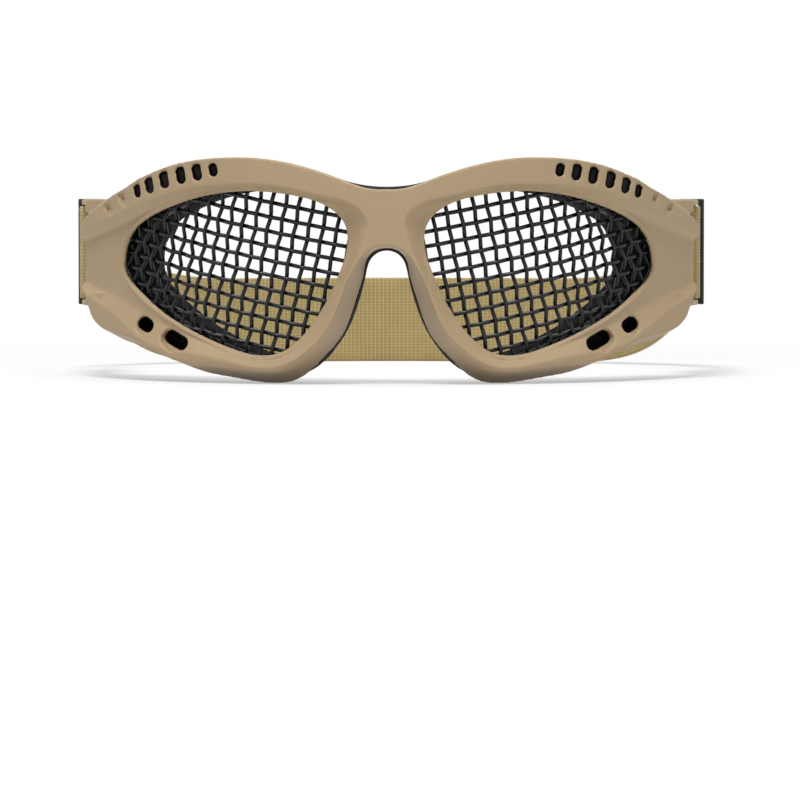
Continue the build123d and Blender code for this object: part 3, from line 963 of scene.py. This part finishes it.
@dataclass
class WovenLens:
    """Plain-woven wire cloth of one lens, curved with the frame.

    Depth is behind the recess floor, and the wires reach so far outside the opening, into the rim.
    """

    side: Side
    pitch: float = 3.63
    wire: float = 1.06
    crimp: float = 0.53
    turn: float = math.radians(11.0)
    depth: float = 2.5
    steps: int = 7
    sides: int = 8
    wires_each_way: int = 14
    shortest: float = 4.0
    reach: float = 0.95
    crossing_rounds: int = 6
    trim_steps: int = 41
    same_place: float = 1e-6
    outline: LensOutline = LensOutline()

    def __post_init__(self) -> None:
        """Works out the sheet's middle and the outline that the wires reach."""
        self.floor = self.outline.floor
        self.middle = self.outline.places().mean(0)
        self.edge = self.outline.ring(self.reach)
        self.sheet_radius = self.floor.radius - self.depth
        self.step = self.pitch / math.cos(self.turn)
        self.slope = math.tan(self.turn)
        self.middle_turn = self.middle[0] / self.floor.radius

    def _crossing(self, weft: int, warp: int) -> Place:
        """Where two wires cross on the sheet.

        Args:
            weft: Number of the wire across, from the middle.
            warp: Number of the upright wire, from the middle.

        Returns:
            Turn round the sheet and height.
        """
        turn = self.middle_turn + warp * self.step / self.sheet_radius
        height = 0.0
        for _ in range(self.crossing_rounds):
            across = self.sheet_radius * math.sin(turn - self.middle_turn)
            height = self.middle[1] + weft * self.step + self.slope * across
            lean = math.asin(self.slope * (height - self.middle[1]) / self.sheet_radius)
            turn = self.middle_turn + warp * self.step / self.sheet_radius - lean
        return turn, height

    def _wire(self, weave: Weave, number: int) -> list[Point]:
        """Stations of one wire, trimmed inside the rim.

        Args:
            weave: Direction of the wire.
            number: Its number from the middle.

        Returns:
            Turn, height and side of the sheet at each station.
        """
        crossings = []
        for other in range(-self.wires_each_way, self.wires_each_way + 1):
            weft, warp = (number, other) if weave is Weave.WEFT else (other, number)
            over = ((weft + warp) % 2 == 0) == (weave is Weave.WEFT)
            crossings.append((*self._crossing(weft, warp), 1.0 if over else -1.0))
        starts, ends = np.array(crossings[:-1])[:, None], np.array(crossings[1:])[:, None]
        spans = starts + (ends - starts) * np.linspace(0, 1, self.trim_steps)[None, :, None]
        inside = within(self.edge, spans[..., 0].ravel() * self.floor.radius, spans[..., 1].ravel())
        kept: list[Point] = []
        for span, held in zip(spans, inside.reshape(spans.shape[:2])):
            for spot in span[held][[0, -1]] if held.any() else ():
                if not kept or math.dist(spot[:2], kept[-1][:2]) > self.same_place:
                    kept.append(tuple(spot))
        return kept

    def _guide(self, weave: Weave) -> bpy.types.Object:
        """Lines through the stations of all wires of one direction.

        Args:
            weave: Direction of the wires.

        Returns:
            Mesh of edges, with the attributes "outward" and "over" at each station.
        """
        points, normals, lifts, edges = [], [], [], []
        for number in range(-self.wires_each_way, self.wires_each_way + 1):
            kept = self._wire(weave, number)
            if len(kept) < 2:
                continue
            first, last = kept[0], kept[-1]
            if math.hypot((last[0] - first[0]) * self.sheet_radius, last[1] - first[1]) < self.shortest:
                continue
            edges += [(len(points) + step, len(points) + step + 1) for step in range(len(kept) - 1)]
            for turn, height, lift in kept:
                x, y = self.side.sign * math.sin(turn), -math.cos(turn)
                points.append((self.sheet_radius * x, self.floor.centre + self.sheet_radius * y, height))
                normals.append((x, y, 0.0))
                lifts.append(lift)
        guide = mesh_object(f"{weave.value}_guide", in_row(np.array(points)), edges, [])
        outward = guide.data.attributes.new("outward", "FLOAT_VECTOR", "POINT")
        outward.data.foreach_set("vector", np.array(normals, np.float32).ravel())
        over = guide.data.attributes.new("over", "FLOAT", "POINT")
        over.data.foreach_set("value", np.array(lifts, np.float32))
        return guide

    def _wire_tree(self, material: bpy.types.Material) -> GeometryTree:
        """Tree that crimps each guide line over and under and gives it a round section.

        Args:
            material: Material of the wires.

        Returns:
            The finished tree.
        """
        tree = GeometryTree("crimped_wire", material)
        radius = tree.size("Wire radius", self.wire / 2 * MM)
        crimp = tree.size("Crimp height", self.crimp * MM)
        steps = tree.size("Steps per mesh", self.steps)
        sides = tree.size("Sides", self.sides)
        named = "GeometryNodeInputNamedAttribute"
        outward = tree.node(named, {"data_type": "FLOAT_VECTOR"}, {"Name": "outward"})
        over = tree.node(named, {"data_type": "FLOAT"}, {"Name": "over"})
        inputs = {0: outward, "Scale": over * crimp}
        offset = tree.node("ShaderNodeVectorMath", {"operation": "SCALE"}, inputs)
        lifted = tree.node("GeometryNodeSetPosition", {}, {"Geometry": tree.guide, "Offset": offset})
        lines = tree.node("GeometryNodeMeshToCurve", {}, {0: lifted})
        smooth = tree.node("GeometryNodeCurveSplineType", {"spline_type": "CATMULL_ROM"}, {"Curve": lines})
        fine = tree.node("GeometryNodeSetSplineResolution", {}, {"Geometry": smooth, "Resolution": steps})
        tree.finish(tree.tube(fine, sides, radius))
        return tree

    def build(self, material: bpy.types.Material) -> list[bpy.types.Object]:
        """Makes the warp and the weft of the lens.

        Args:
            material: Material of the wires.

        Returns:
            The two finished pieces.
        """
        pieces = []
        tree = self._wire_tree(material)
        for weave in Weave:
            piece = tree.apply(f"{self.side.value}_{weave.value}_wires", self._guide(weave))
            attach(piece, "frame")
            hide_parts(self.side.node(f"mesh_{weave.value}"))
            pieces.append(piece)
        return pieces


# Frame and foam, in millimetres apart from the grid sizes


@dataclass(frozen=True)
class Vent:
    """One right-hand vent as the front view shows it, with the place of its middle and a slope in degrees.

    It is cut so deep behind the frame's front, and shade is painted on its walls from another depth on.
    """

    x: float
    z: float
    width: float
    height: float
    slope: float = -11.0
    corner: float = 0.8
    depth: float = 4.0
    # Depth from which shade is painted on the vent's walls.
    dark_from: float = 0.5
    points_per_corner: int = 4

    def outline(self, grown: float = 0.0) -> list[Place]:
        """Rounded outline of the vent.

        Args:
            grown: How far the outline is moved outwards.

        Returns:
            The outline's places in the front view.
        """
        turn = math.radians(self.slope)
        spots = []
        for number in range(4):
            right = 1 if number in (0, 3) else -1
            up = 1 if number < 2 else -1
            for angle in np.linspace(0, math.pi / 2, self.points_per_corner) + number * math.pi / 2:
                u = right * (self.width / 2 - self.corner) + (self.corner + grown) * math.cos(angle)
                v = up * (self.height / 2 - self.corner) + (self.corner + grown) * math.sin(angle)
                spots.append((self.x + u * math.cos(turn) - v * math.sin(turn),
                              self.z + u * math.sin(turn) + v * math.cos(turn)))
        return spots


@dataclass
class MouldedFrame:
    """The moulded shell, with soft edges and vents that run straight back from the front view.

    Shade is painted on the walls behind each lens out to the floor of the rim's groove, and on a vent's
    walls a little beyond its depth and outline. The brow's rise is given by distance from the middle.
    """

    voxel: float = 0.0004
    rounds: int = 1
    keep: float = 0.5
    front: WrapSurface = WrapSurface(radius=80.5, centre=80.5)
    outline: LensOutline = LensOutline()
    groove: float = 1.7
    # Depth behind the recess floor from which shade is painted on the walls behind each lens.
    shade_from: float = 1.3
    vent_lead_in: float = 6.0
    # How far past a vent's depth and outline its painted shade reaches.
    dark_beyond: float = 1.6
    dark_around: float = 0.2
    brow_rise: tuple[Place, ...] = (
        (42.0, 0.0), (48.0, 0.15), (52.0, 0.3), (56.0, 0.5), (60.0, 0.65), (65.0, 0.7), (69.0, 0.0),
    )
    brow_ramp: float = 2.0
    bead_width: float = 1.3
    bead_height: float = 0.4
    dimples: tuple[Place, ...] = ((68.9, 46.8), (72.8, 44.4))
    dimple_half_width: float = 1.5
    dimple_half_height: float = 2.3
    dimple_turn: float = math.radians(-11.0)
    dimple_depth: float = 0.6
    dimple_roundness: float = 1.5
    dimple_skin: float = 1.0
    vents: tuple[Vent, ...] = (
        Vent(64.7, 49.0, 1.6, 3.3, corner=0.7, depth=3.0),
        Vent(61.3, 50.4, 2.1, 3.9, depth=3.0),
        Vent(57.2, 51.8, 2.3, 4.1, depth=3.4),
        Vent(52.7, 52.9, 2.3, 4.1),
        Vent(48.4, 53.7, 2.3, 4.0),
        Vent(44.1, 54.3, 2.1, 3.2, corner=0.9),
        Vent(62.5, 14.5, 4.3, 3.7, slope=29.0, corner=1.5, depth=18.0, dark_from=5.0),
        Vent(54.1, 10.7, 6.5, 3.8, slope=29.0, corner=1.6, depth=18.0, dark_from=5.0),
    )

    @staticmethod
    def _read(piece: bpy.types.Object) -> tuple[np.ndarray, np.ndarray, np.ndarray, np.ndarray]:
        """Reads where a piece's points are.

        Args:
            piece: The piece.

        Returns:
            The points in metres, and in millimetres the distances from the middle, behind the
            bridge's front and above the ground.
        """
        spots = points_of(piece.data)
        return spots, np.abs(spots[:, 0]) / MM, (spots[:, 1] - BRIDGE_FRONT) / MM, spots[:, 2] / MM

    def _cutter(self) -> bpy.types.Object:
        """Prisms that run straight back from each vent's mouth.

        Returns:
            One object that holds all of them.
        """
        points, faces = [], []
        for side in Side:
            for vent in self.vents:
                outline = vent.outline()
                front = self.front.radius - math.sqrt(self.front.radius**2 - vent.x**2)
                start = len(points)
                for depth in (front - self.vent_lead_in, front + vent.depth):
                    points += [(side.sign * x, depth, z) for x, z in outline]
                faces += [[start + n for n in face] for face in ring_faces(2, len(outline), joined=False)]
        return turned_outwards(mesh_object("vent_cutter", in_row(np.array(points)), [], faces))

    def _higher_brow(self, spots: np.ndarray) -> np.ndarray:
        """Lifts the brow's edge above the vents, as the photograph shows it.

        Args:
            spots: Points in metres.

        Returns:
            The moved points.
        """
        x, z = np.abs(spots[:, 0]) / MM, spots[:, 2] / MM
        line = sorted((vent.x, vent.z) for vent in self.vents if vent.z > self.outline.height / 2)
        share = np.clip((z - np.interp(x, *zip(*line))) / self.brow_ramp, 0, 1)
        moved = spots.copy()
        moved[:, 2] += share * np.interp(x, *zip(*self.brow_rise)) * MM
        return moved

    def _add_bead(self, piece: bpy.types.Object) -> None:
        """Raises a thin bead round each lens opening.

        Args:
            piece: The shell.
        """
        spots, x, y, z = self._read(piece)
        turns, arcs, depths = self.outline.floor.unrolled(x, y)
        near = np.flatnonzero(np.abs(depths) < self.bead_width / 2)
        places = np.column_stack([arcs[near], z[near]])
        ring = self.outline.ring(0.0)
        distance = np.full(len(near), np.inf)
        for corner, run in zip(ring, np.roll(ring, -1, 0) - ring):
            part = np.clip((places - corner) @ run / (run @ run), 0, 1)
            distance = np.minimum(distance, np.linalg.norm(places - corner - part[:, None] * run, axis=1))
        raised = ~within(ring, places[:, 0], places[:, 1]) & (distance < self.bead_width)
        lift = np.where(raised, np.sin(math.pi * distance / self.bead_width) ** 2, 0)
        lift *= self.bead_height * MM
        spots[near, 0] += lift * np.sin(turns[near]) * np.sign(spots[near, 0])
        spots[near, 1] -= lift * np.cos(turns[near])
        set_points(piece.data, spots)

    def _press_dimples(self, piece: bpy.types.Object) -> None:
        """Widens the blind dimples at the brow's outer ends into shallow ovals.

        Args:
            piece: The shell.
        """
        spots, x, y, z = self._read(piece)
        turns, _, depths = self.front.unrolled(x, y)
        cos, sin = math.cos(self.dimple_turn), math.sin(self.dimple_turn)
        for middle, height in self.dimples:
            u = (x - middle) * cos + (z - height) * sin
            v = (z - height) * cos - (x - middle) * sin
            share = 1 - (u / self.dimple_half_width) ** 2 - (v / self.dimple_half_height) ** 2
            push = np.clip(share, 0, 1) ** self.dimple_roundness * self.dimple_depth * MM
            push = np.where(np.abs(depths) < self.dimple_skin, push, 0)
            spots[:, 0] -= push * np.sin(turns) * np.sign(spots[:, 0])
            spots[:, 1] += push * np.cos(turns)
        set_points(piece.data, spots)

    def _paint_shade_on_walls(self, piece: bpy.types.Object) -> None:
        """Marks the walls behind each lens and inside the vents, which get painted shade.

        Args:
            piece: The shell, which gets the attribute "shade", marking the painted shade.
        """
        _, x, y, z = self._read(piece)
        _, arcs, depths = self.outline.floor.unrolled(x, y)
        # Painted shade on the walls behind each lens.
        dark = within(self.outline.ring(self.groove), arcs, z) & (depths > self.shade_from)
        behind = y - self.front.radius + np.sqrt(np.clip(self.front.radius**2 - x**2, 0, None))
        # Painted shade inside each vent.
        for vent in self.vents:
            deep = (behind > vent.dark_from) & (behind < vent.depth + self.dark_beyond)
            dark |= within(vent.outline(self.dark_around), x, z) & deep
        layer = piece.data.attributes.new("shade", "FLOAT", "POINT")
        layer.data.foreach_set("value", dark.astype(np.float32))

    def build(self, material: bpy.types.Material) -> bpy.types.Object:
        """Makes the shell in place of its CAD node.

        Args:
            material: Material of the shell.

        Returns:
            The finished object.
        """
        cutter = self._cutter()
        piece = softened(
            "full_shell", "frame_shell", self.voxel, self.rounds, material, cutter, self._higher_brow
        )
        self._add_bead(piece)
        self._press_dimples(piece)
        piece = thinned("moulded_shell", piece, self.keep, material)
        self._paint_shade_on_walls(piece)
        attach(piece, "frame")
        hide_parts("frame_shell")
        return piece


@dataclass
class FaceFoam:
    """Die-cut foam seal, crowned at its edges."""

    voxel: float = 0.0009
    rounds: int = 14

    def build(self, material: bpy.types.Material) -> bpy.types.Object:
        """Makes the foam in place of its CAD node.

        Args:
            material: Material of the foam.

        Returns:
            The finished object.
        """
        piece = softened("foam_seal", "face_foam", self.voxel, self.rounds, material)
        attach(piece, "frame")
        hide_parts("face_foam")
        return piece


# Strap, in millimetres


@dataclass
class ElasticStrap:
    """Elastic webbing: the long run, the folds round the frame's bars and the layers to the sliders.

    Places in plan are measured from the bar of the frame's loop, outwards and along the strap. The bar's
    own place is its distance from the middle and behind the bridge's front.
    """

    width: float = 24.5
    thickness: float = 1.4
    level: float = 33.0
    lean: float = math.radians(2.0)
    bar: Place = (79.0, 68.5175)
    layer: float = 2.75
    leg: float = 8.0
    fold_front: float = 1.0
    straight: float = 58.0
    side_radius: float = 70.0
    side_turn: float = math.radians(45.0)
    slider_place: float = 30.0
    slider_half_length: float = 8.0
    centre_bar_radius: float = 1.1
    tab_gap: float = 0.15
    tab_sewn: float = 6.0
    tab_rise: float = 5.0
    seam_gap: float = 0.1

    # The swept webbing
    rib: float = 1.2
    rib_height: float = 0.07
    steps_per_rib: int = 4
    edge_height: float = 0.6
    edge_width: float = 0.55
    rows_across: int = 13
    run_step: float = 1.0
    arc_points: int = 60
    fold_points: int = 24
    rise_points: int = 12
    turn_points: int = 18

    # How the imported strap's level is read
    level_step: float = 1.5
    level_reach: float = 0.9
    fewest_points: int = 4
    full_width: float = 0.96

    def _place(self, side: Side, out: float, along: float) -> Place:
        """Place in plan, measured from the bar.

        Args:
            side: Side of the goggles.
            out: Distance outwards from the bar.
            along: Distance along the strap.

        Returns:
            X, and Y behind the bridge's front.
        """
        x = self.bar[0] + out * math.cos(self.lean) + along * math.sin(self.lean)
        y = self.bar[1] - out * math.sin(self.lean) + along * math.cos(self.lean)
        return side.sign * x, y

    def _level_place(self, side: Side, along: float, ahead: float = 0.0) -> Point:
        """End of a blend at the strap's level.

        Args:
            side: Side of the goggles.
            along: Distance along the strap from the bar.
            ahead: Distance in front of that place.

        Returns:
            The point in metres.
        """
        x, y = self._place(side, 0.0, along)
        return tuple(in_row(np.array((x, y - ahead, self.level))))

    @staticmethod
    def _lengths(line: np.ndarray) -> np.ndarray:
        """Length of a line up to each of its points."""
        return np.concatenate([[0], np.cumsum(np.linalg.norm(np.diff(line, axis=0), axis=1))])

    def _resampled(self, line: np.ndarray, step: float) -> np.ndarray:
        """Spaces the points of a line evenly.

        Args:
            line: Points of the line.
            step: Distance between the new points, nearly kept.

        Returns:
            The new points.
        """
        lengths = self._lengths(line)
        count = max(2, int(round(lengths[-1] / step)) + 1)
        places = np.linspace(0, lengths[-1], count)
        return np.stack([np.interp(places, lengths, line[:, axis]) for axis in range(line.shape[1])], 1)

    def _levels(self, y: np.ndarray) -> np.ndarray:
        """Height of the strap's middle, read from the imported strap.

        Args:
            y: Distances behind the bridge's front.

        Returns:
            The height at each of them.
        """
        spots = points_of(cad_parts["strap_band"].data)
        depths, heights = (spots[:, 1] - BRIDGE_FRONT) / MM, spots[:, 2] / MM
        table = []
        for start in np.arange(depths.min(), depths.max(), self.level_step):
            near = np.abs(depths - start) <= self.level_reach
            if near.sum() >= self.fewest_points and np.ptp(heights[near]) > self.width * self.full_width:
                table.append((depths[near].mean(), (heights[near].max() + heights[near].min()) / 2))
        return np.interp(y, *zip(*table))

    def _long_run(self) -> np.ndarray:
        """Middle line of the strap's long run.

        Returns:
            Points from the right side round the back to the left.
        """
        lean, turn = self.lean, self.side_turn
        start = np.array(self._place(Side.RIGHT, self.layer, self.leg))
        bend = np.array(self._place(Side.RIGHT, self.layer, self.straight))
        centre = bend + self.side_radius * np.array((-math.cos(lean), math.sin(lean)))
        angles = np.linspace(-lean, turn, self.arc_points)
        arc = centre + self.side_radius * np.stack([np.cos(angles), np.sin(angles)], 1)
        rest = arc[-1][0] / math.cos(turn)
        rear_centre = arc[-1] - rest * np.array((math.cos(turn), math.sin(turn)))
        angles = np.linspace(turn, math.pi / 2, self.arc_points)
        rear = rear_centre + rest * np.stack([np.cos(angles), np.sin(angles)], 1)
        right = np.concatenate([[start], [bend], arc[1:], rear[1:]])
        left = right[::-1] * np.array((-1, 1))
        plan = self._resampled(np.concatenate([right, left[1:]]), self.run_step)
        return np.column_stack([plan, self._levels(plan[:, 1])])

    def _profile(self) -> np.ndarray:
        """Section of the webbing, with rounded edges.

        Returns:
            Distances outwards and upwards from its middle.
        """
        half, thin = self.width / 2, self.thickness / 2
        edge = half - thin * self.edge_height
        across = np.linspace(-edge, edge, self.rows_across)
        tip = thin * self.edge_width
        outer = [(thin, z) for z in across] + [(tip, half), (-tip, half)]
        inner = [(-thin, z) for z in across[::-1]] + [(-tip, -half), (tip, -half)]
        return np.array(outer + inner)

    def _sweep(self, name: str, line: np.ndarray, material: bpy.types.Material) -> bpy.types.Object:
        """Webbing swept along a middle line, ribbed across, with its own map.

        Args:
            name: Name of the piece.
            line: Middle line.
            material: Material of the webbing.

        Returns:
            The finished object.
        """
        line = self._resampled(line, self.rib / self.steps_per_rib)
        ahead = np.gradient(line[:, :2], axis=0)
        ahead /= np.linalg.norm(ahead, axis=1)[:, None]
        out = np.stack([ahead[:, 1], -ahead[:, 0]], 1)
        lengths = self._lengths(line)
        profile = self._profile()
        hollows = 0.5 - 0.5 * np.cos(2 * math.pi * lengths / self.rib)
        ribs = 1 - self.rib_height / (self.thickness / 2) * hollows
        count, ring = len(line), len(profile)
        points = np.zeros((count, ring, 3))
        points[:, :, :2] = line[:, None, :2] + out[:, None] * profile[None, :, :1] * ribs[:, None, None]
        points[:, :, 2] = line[:, 2:3] + profile[None, :, 1]
        made = closed_piece(name, points.reshape(-1, 3), ring_faces(count, ring, joined=False), material)
        layer = made.data.uv_layers.new(name="weave")
        numbers = np.zeros(len(made.data.loops), np.int32)
        made.data.loops.foreach_get("vertex_index", numbers)
        mapped = np.stack([lengths[numbers // ring], profile[numbers % ring, 1]], 1) * MM
        layer.data.foreach_set("uv", mapped.astype(np.float32).ravel())
        return made

    def _upright(self, places: list[Place]) -> np.ndarray:
        """Middle line at the strap's level."""
        return np.array([(x, y, self.level) for x, y in places])

    def _fold(self, side: Side, material: bpy.types.Material) -> bpy.types.Object:
        """Webbing turned round the frame's bar.

        Args:
            side: Side of the goggles.
            material: Material of the webbing.

        Returns:
            The finished object.
        """
        places = [self._place(side, self.layer, along) for along in (self.leg, 0.0)]
        for angle in np.linspace(0, math.pi, self.fold_points)[1:]:
            places.append(self._place(side, self.layer * math.cos(angle), -self.layer * math.sin(angle)))
        places.append(self._place(side, -self.layer, self.leg))
        piece = self._sweep(f"{side.value}_fold", self._upright(places), material)
        start = self._level_place(side, 0.0, self.fold_front)
        end = self._level_place(side, self.leg)
        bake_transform(piece)
        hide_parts(side.node("strap_fold"))
        return piece

    def _return(self, side: Side, material: bpy.types.Material) -> bpy.types.Object:
        """Inner layer of webbing, which follows the slider at its far end.

        Args:
            side: Side of the goggles.
            material: Material of the webbing.

        Returns:
            The finished object.
        """
        far = self.slider_place - self.seam_gap
        places = [self._place(side, -self.layer, along) for along in (self.leg, far)]
        piece = self._sweep(f"{side.value}_inner_layer", self._upright(places), material)
        start = self._level_place(side, self.leg)
        end = self._level_place(side, far)
        side.node("slider")
        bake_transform(piece)
        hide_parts(side.node("strap_return"))
        return piece

    def _tab(self, side: Side, material: bpy.types.Material) -> bpy.types.Object:
        """End of the strap, turned round the slider's middle bar and sewn down.

        Args:
            side: Side of the goggles.
            material: Material of the webbing.

        Returns:
            The finished object.
        """
        radius = self.centre_bar_radius + self.tab_gap + self.thickness / 2
        bar_out = radius - self.layer
        sewn = -self.layer + self.thickness + self.seam_gap
        far = bar_out + radius
        rise = self.slider_place - self.slider_half_length
        places = [(sewn, rise - self.tab_sewn), (sewn, rise)]
        for part in np.linspace(0, 1, self.rise_points)[1:]:
            eased = part * part * (3 - 2 * part)
            places.append((sewn + (far - sewn) * eased, rise + self.tab_rise * part))
        places.append((far, self.slider_place))
        for angle in np.linspace(0, math.pi, self.turn_points)[1:]:
            along = self.slider_place + radius * math.sin(angle)
            places.append((bar_out + radius * math.cos(angle), along))
        line = self._upright([self._place(side, out, along) for out, along in places])
        piece = self._sweep(f"{side.value}_tab", line, material)
        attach(piece, side.node("slider"))
        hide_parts(side.node("end_tab"))
        return piece

    def build(self, material: bpy.types.Material) -> list[bpy.types.Object]:
        """Makes all the webbing.

        Args:
            material: Material of the webbing.

        Returns:
            The finished pieces.
        """
        band = self._sweep("strap_run", self._long_run(), material)
        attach(band, "strap")
        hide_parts("strap_band")
        pieces = [band]
        for side in Side:
            pieces += [self._fold(side, material), self._return(side, material), self._tab(side, material)]
        return pieces


@dataclass
class StrapSlider:
    """Three-bar slider with soft moulded edges. The grid size is in metres."""

    side: Side
    voxel: float = 0.00022
    rounds: int = 4

    def build(self, material: bpy.types.Material) -> bpy.types.Object:
        """Makes the slider in place of its CAD node.

        Args:
            material: Material of the slider.

        Returns:
            The finished object.
        """
        node = self.side.node("slider")
        piece = softened(f"{self.side.value}_glide", node, self.voxel, self.rounds, material)
        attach(piece, node)
        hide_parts(node)
        return piece


@dataclass
class BarTack:
    """Zigzag row of stitches through the end tab."""

    side: Side
    count: int = 24
    length: float = 3.4
    thread: float = 0.34
    thread_sides: int = 6
    slant: float = math.radians(12.0)

    def _tree(self, material: bpy.types.Material) -> GeometryTree:
        """Tree that lays one stitch at each guide point, slanted to one side and the other in turn.

        Args:
            material: Material of the thread.

        Returns:
            The finished tree.
        """
        tree = GeometryTree("zigzag_stitches", material)
        length = tree.size("Stitch length", self.length * MM)
        radius = tree.size("Thread radius", self.thread / 2 * MM)
        slant = tree.size("Slant", self.slant)
        tail, tip = (tree.node("ShaderNodeCombineXYZ", {}, {1: length * share}) for share in (-0.5, 0.5))
        line = tree.node("GeometryNodeCurvePrimitiveLine", {}, {"Start": tail, "End": tip})
        stitch = tree.tube(line, self.thread_sides, radius)
        index = tree.node("GeometryNodeInputIndex", {}, {})
        odd = tree.node("ShaderNodeMath", {"operation": "MODULO"}, {0: index, 1: 2.0})
        turned = tree.node("ShaderNodeCombineXYZ", {}, {0: (odd * 2.0 - 1.0) * slant})
        points = tree.node("GeometryNodeMeshToPoints", {}, {0: tree.guide})
        inputs = {"Points": points, "Instance": stitch, "Rotation": turned}
        tree.finish(tree.node("GeometryNodeInstanceOnPoints", {}, inputs))
        return tree

    def build(self, material: bpy.types.Material) -> bpy.types.Object:
        """Makes the stitches in place of their CAD node.

        Args:
            material: Material of the thread.

        Returns:
            The finished object.
        """
        node = self.side.node("bar_tack")
        low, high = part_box(node)
        x, y = (low.x + high.x) / 2, (low.y + high.y) / 2
        points = np.array([(x, y, height) for height in np.linspace(low.z, high.z, self.count)])
        guide = mesh_object("tack_guide", points, [], [])
        piece = self._tree(material).apply(f"{self.side.value}_stitches", guide)
        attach(piece, self.side.node("slider"))
        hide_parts(node)
        return piece


# Studio, in metres


@dataclass(frozen=True)
class SoftLamp:
    """Soft square lamp, with its power in watts."""

    name: str
    place: Point
    size: float
    power: float

    def build(self, aim: Vector) -> None:
        """Adds the lamp.

        Args:
            aim: Point that it faces.
        """
        data = bpy.data.lights.new(self.name, "AREA")
        data.size = self.size
        data.energy = self.power
        lamp = bpy.data.objects.new(self.name, data)
        bpy.context.scene.collection.objects.link(lamp)
        lamp.location = self.place
        lamp.rotation_euler = (aim - Vector(self.place)).to_track_quat("-Z", "Y").to_euler()


@dataclass
class Studio:
    """Floor, backdrop, lamps and camera. The camera's aim is measured from the bridge's front."""

    azimuth: float = math.radians(0.9)
    elevation: float = math.radians(0.6)
    distance: float = 1.2
    width_seen: float = 0.2012
    sensor_mm: float = 36.0
    view_end: float = 50.0
    aim: Point = (0.0036, 0.0, -0.0037)
    centre_height: float = 0.0295
    world_light: float = 0.18
    half_width: float = 6.0
    front: float = -4.0
    back: float = 6.0
    wall_height: float = 5.0
    lamps: tuple[SoftLamp, ...] = (
        SoftLamp("key", (-0.12, -0.62, 1.3), size=0.5, power=16.0),
        SoftLamp("fill", (0.95, -0.75, 0.35), size=1.0, power=1.3),
        SoftLamp("top", (0.0, 0.25, 1.15), size=1.2, power=6.0),
    )

    def _sheet(self, name: str, near: Place, far: Place, finish: StudioWhite) -> bpy.types.Object:
        """Flat sheet across the whole width of the studio.

        Args:
            name: Name of the sheet.
            near: Depth and height of its first edge.
            far: Depth and height of its second edge.
            finish: Finish of the sheet.

        Returns:
            The sheet.
        """
        wide = self.half_width
        corners = [(-wide, *near), (wide, *near), (wide, *far), (-wide, *far)]
        sheet = mesh_object(name, np.array(corners), [], [[0, 1, 2, 3]])
        sheet.data.materials.append(finish.build())
        return sheet

    def _camera(self) -> None:
        """Adds the camera at the photograph's angle."""
        data = bpy.data.cameras.new("camera")
        data.sensor_fit = "HORIZONTAL"
        data.sensor_width = self.sensor_mm
        data.lens = data.sensor_width * self.distance / self.width_seen
        data.clip_end = self.view_end
        camera = bpy.data.objects.new("camera", data)
        bpy.context.scene.collection.objects.link(camera)
        flat = math.cos(self.elevation)
        x, y = math.sin(self.azimuth) * flat, -math.cos(self.azimuth) * flat
        way = Vector((x, y, math.sin(self.elevation)))
        camera.location = Vector((0, BRIDGE_FRONT, self.centre_height)) + way * self.distance
        aim = Vector(self.aim) + Vector((0, BRIDGE_FRONT, 0))
        camera.rotation_euler = (aim - camera.location).to_track_quat("-Z", "Y").to_euler()
        bpy.context.scene.camera = camera

    def _world(self) -> None:
        """Sets an even, dim world that shows as white."""
        graph = ShaderGraph("studio_world", Shaded.WORLD)
        strength = graph.background_rays() * (1.0 - self.world_light) + self.world_light
        inputs = {"Color": WHITE, "Strength": strength}
        bpy.context.scene.world = graph.finished(graph.node("ShaderNodeBackground", {}, inputs))

    def build(self) -> None:
        """Makes the studio."""
        white_floor = StudioWhite("studio_floor", white_from=0.14, white_at=0.34, white_near=0.45)
        white_wall = StudioWhite("studio_backdrop", white_from=0.0, white_at=0.1)
        floor = self._sheet("floor", (self.front, 0.0), (self.back, 0.0), white_floor)
        wall = self._sheet("backdrop", (self.back, 0.0), (self.back, self.wall_height), white_wall)
        for lamp in self.lamps:
            lamp.build(Vector((0, 0, self.centre_height)))
        self._world()
        self._camera()
        bpy.context.scene.view_settings.view_transform = "Standard"


def main() -> None:
    """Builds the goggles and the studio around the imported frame."""
    logging.basicConfig(level=logging.INFO, format="%(name)s: %(message)s")
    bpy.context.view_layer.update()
    steel = PaintedSteel().build()
    tan = MouldedPlastic("dark_earth_plastic", (0.434, 0.319, 0.191)).build()
    black = MouldedPlastic("black_plastic", (0.020, 0.020, 0.021), roughness=0.42).build()
    webbing = RibbedWebbing().build()
    thread = SewingThread().build()
    pieces = [MouldedFrame().build(tan), FaceFoam().build(OpenCellFoam().build())]
    for side in Side:
        pieces += WovenLens(side).build(steel)
        pieces.append(FoldedRim(side).build(steel))
        pieces.append(StrapSlider(side).build(black))
        pieces.append(BarTack(side).build(thread))
    pieces += ElasticStrap().build(webbing)
    for piece in pieces:
        log.info("%s: %d faces", piece.name, len(piece.data.polygons))
    Studio().build()


if __name__ == "__main__":
    main()
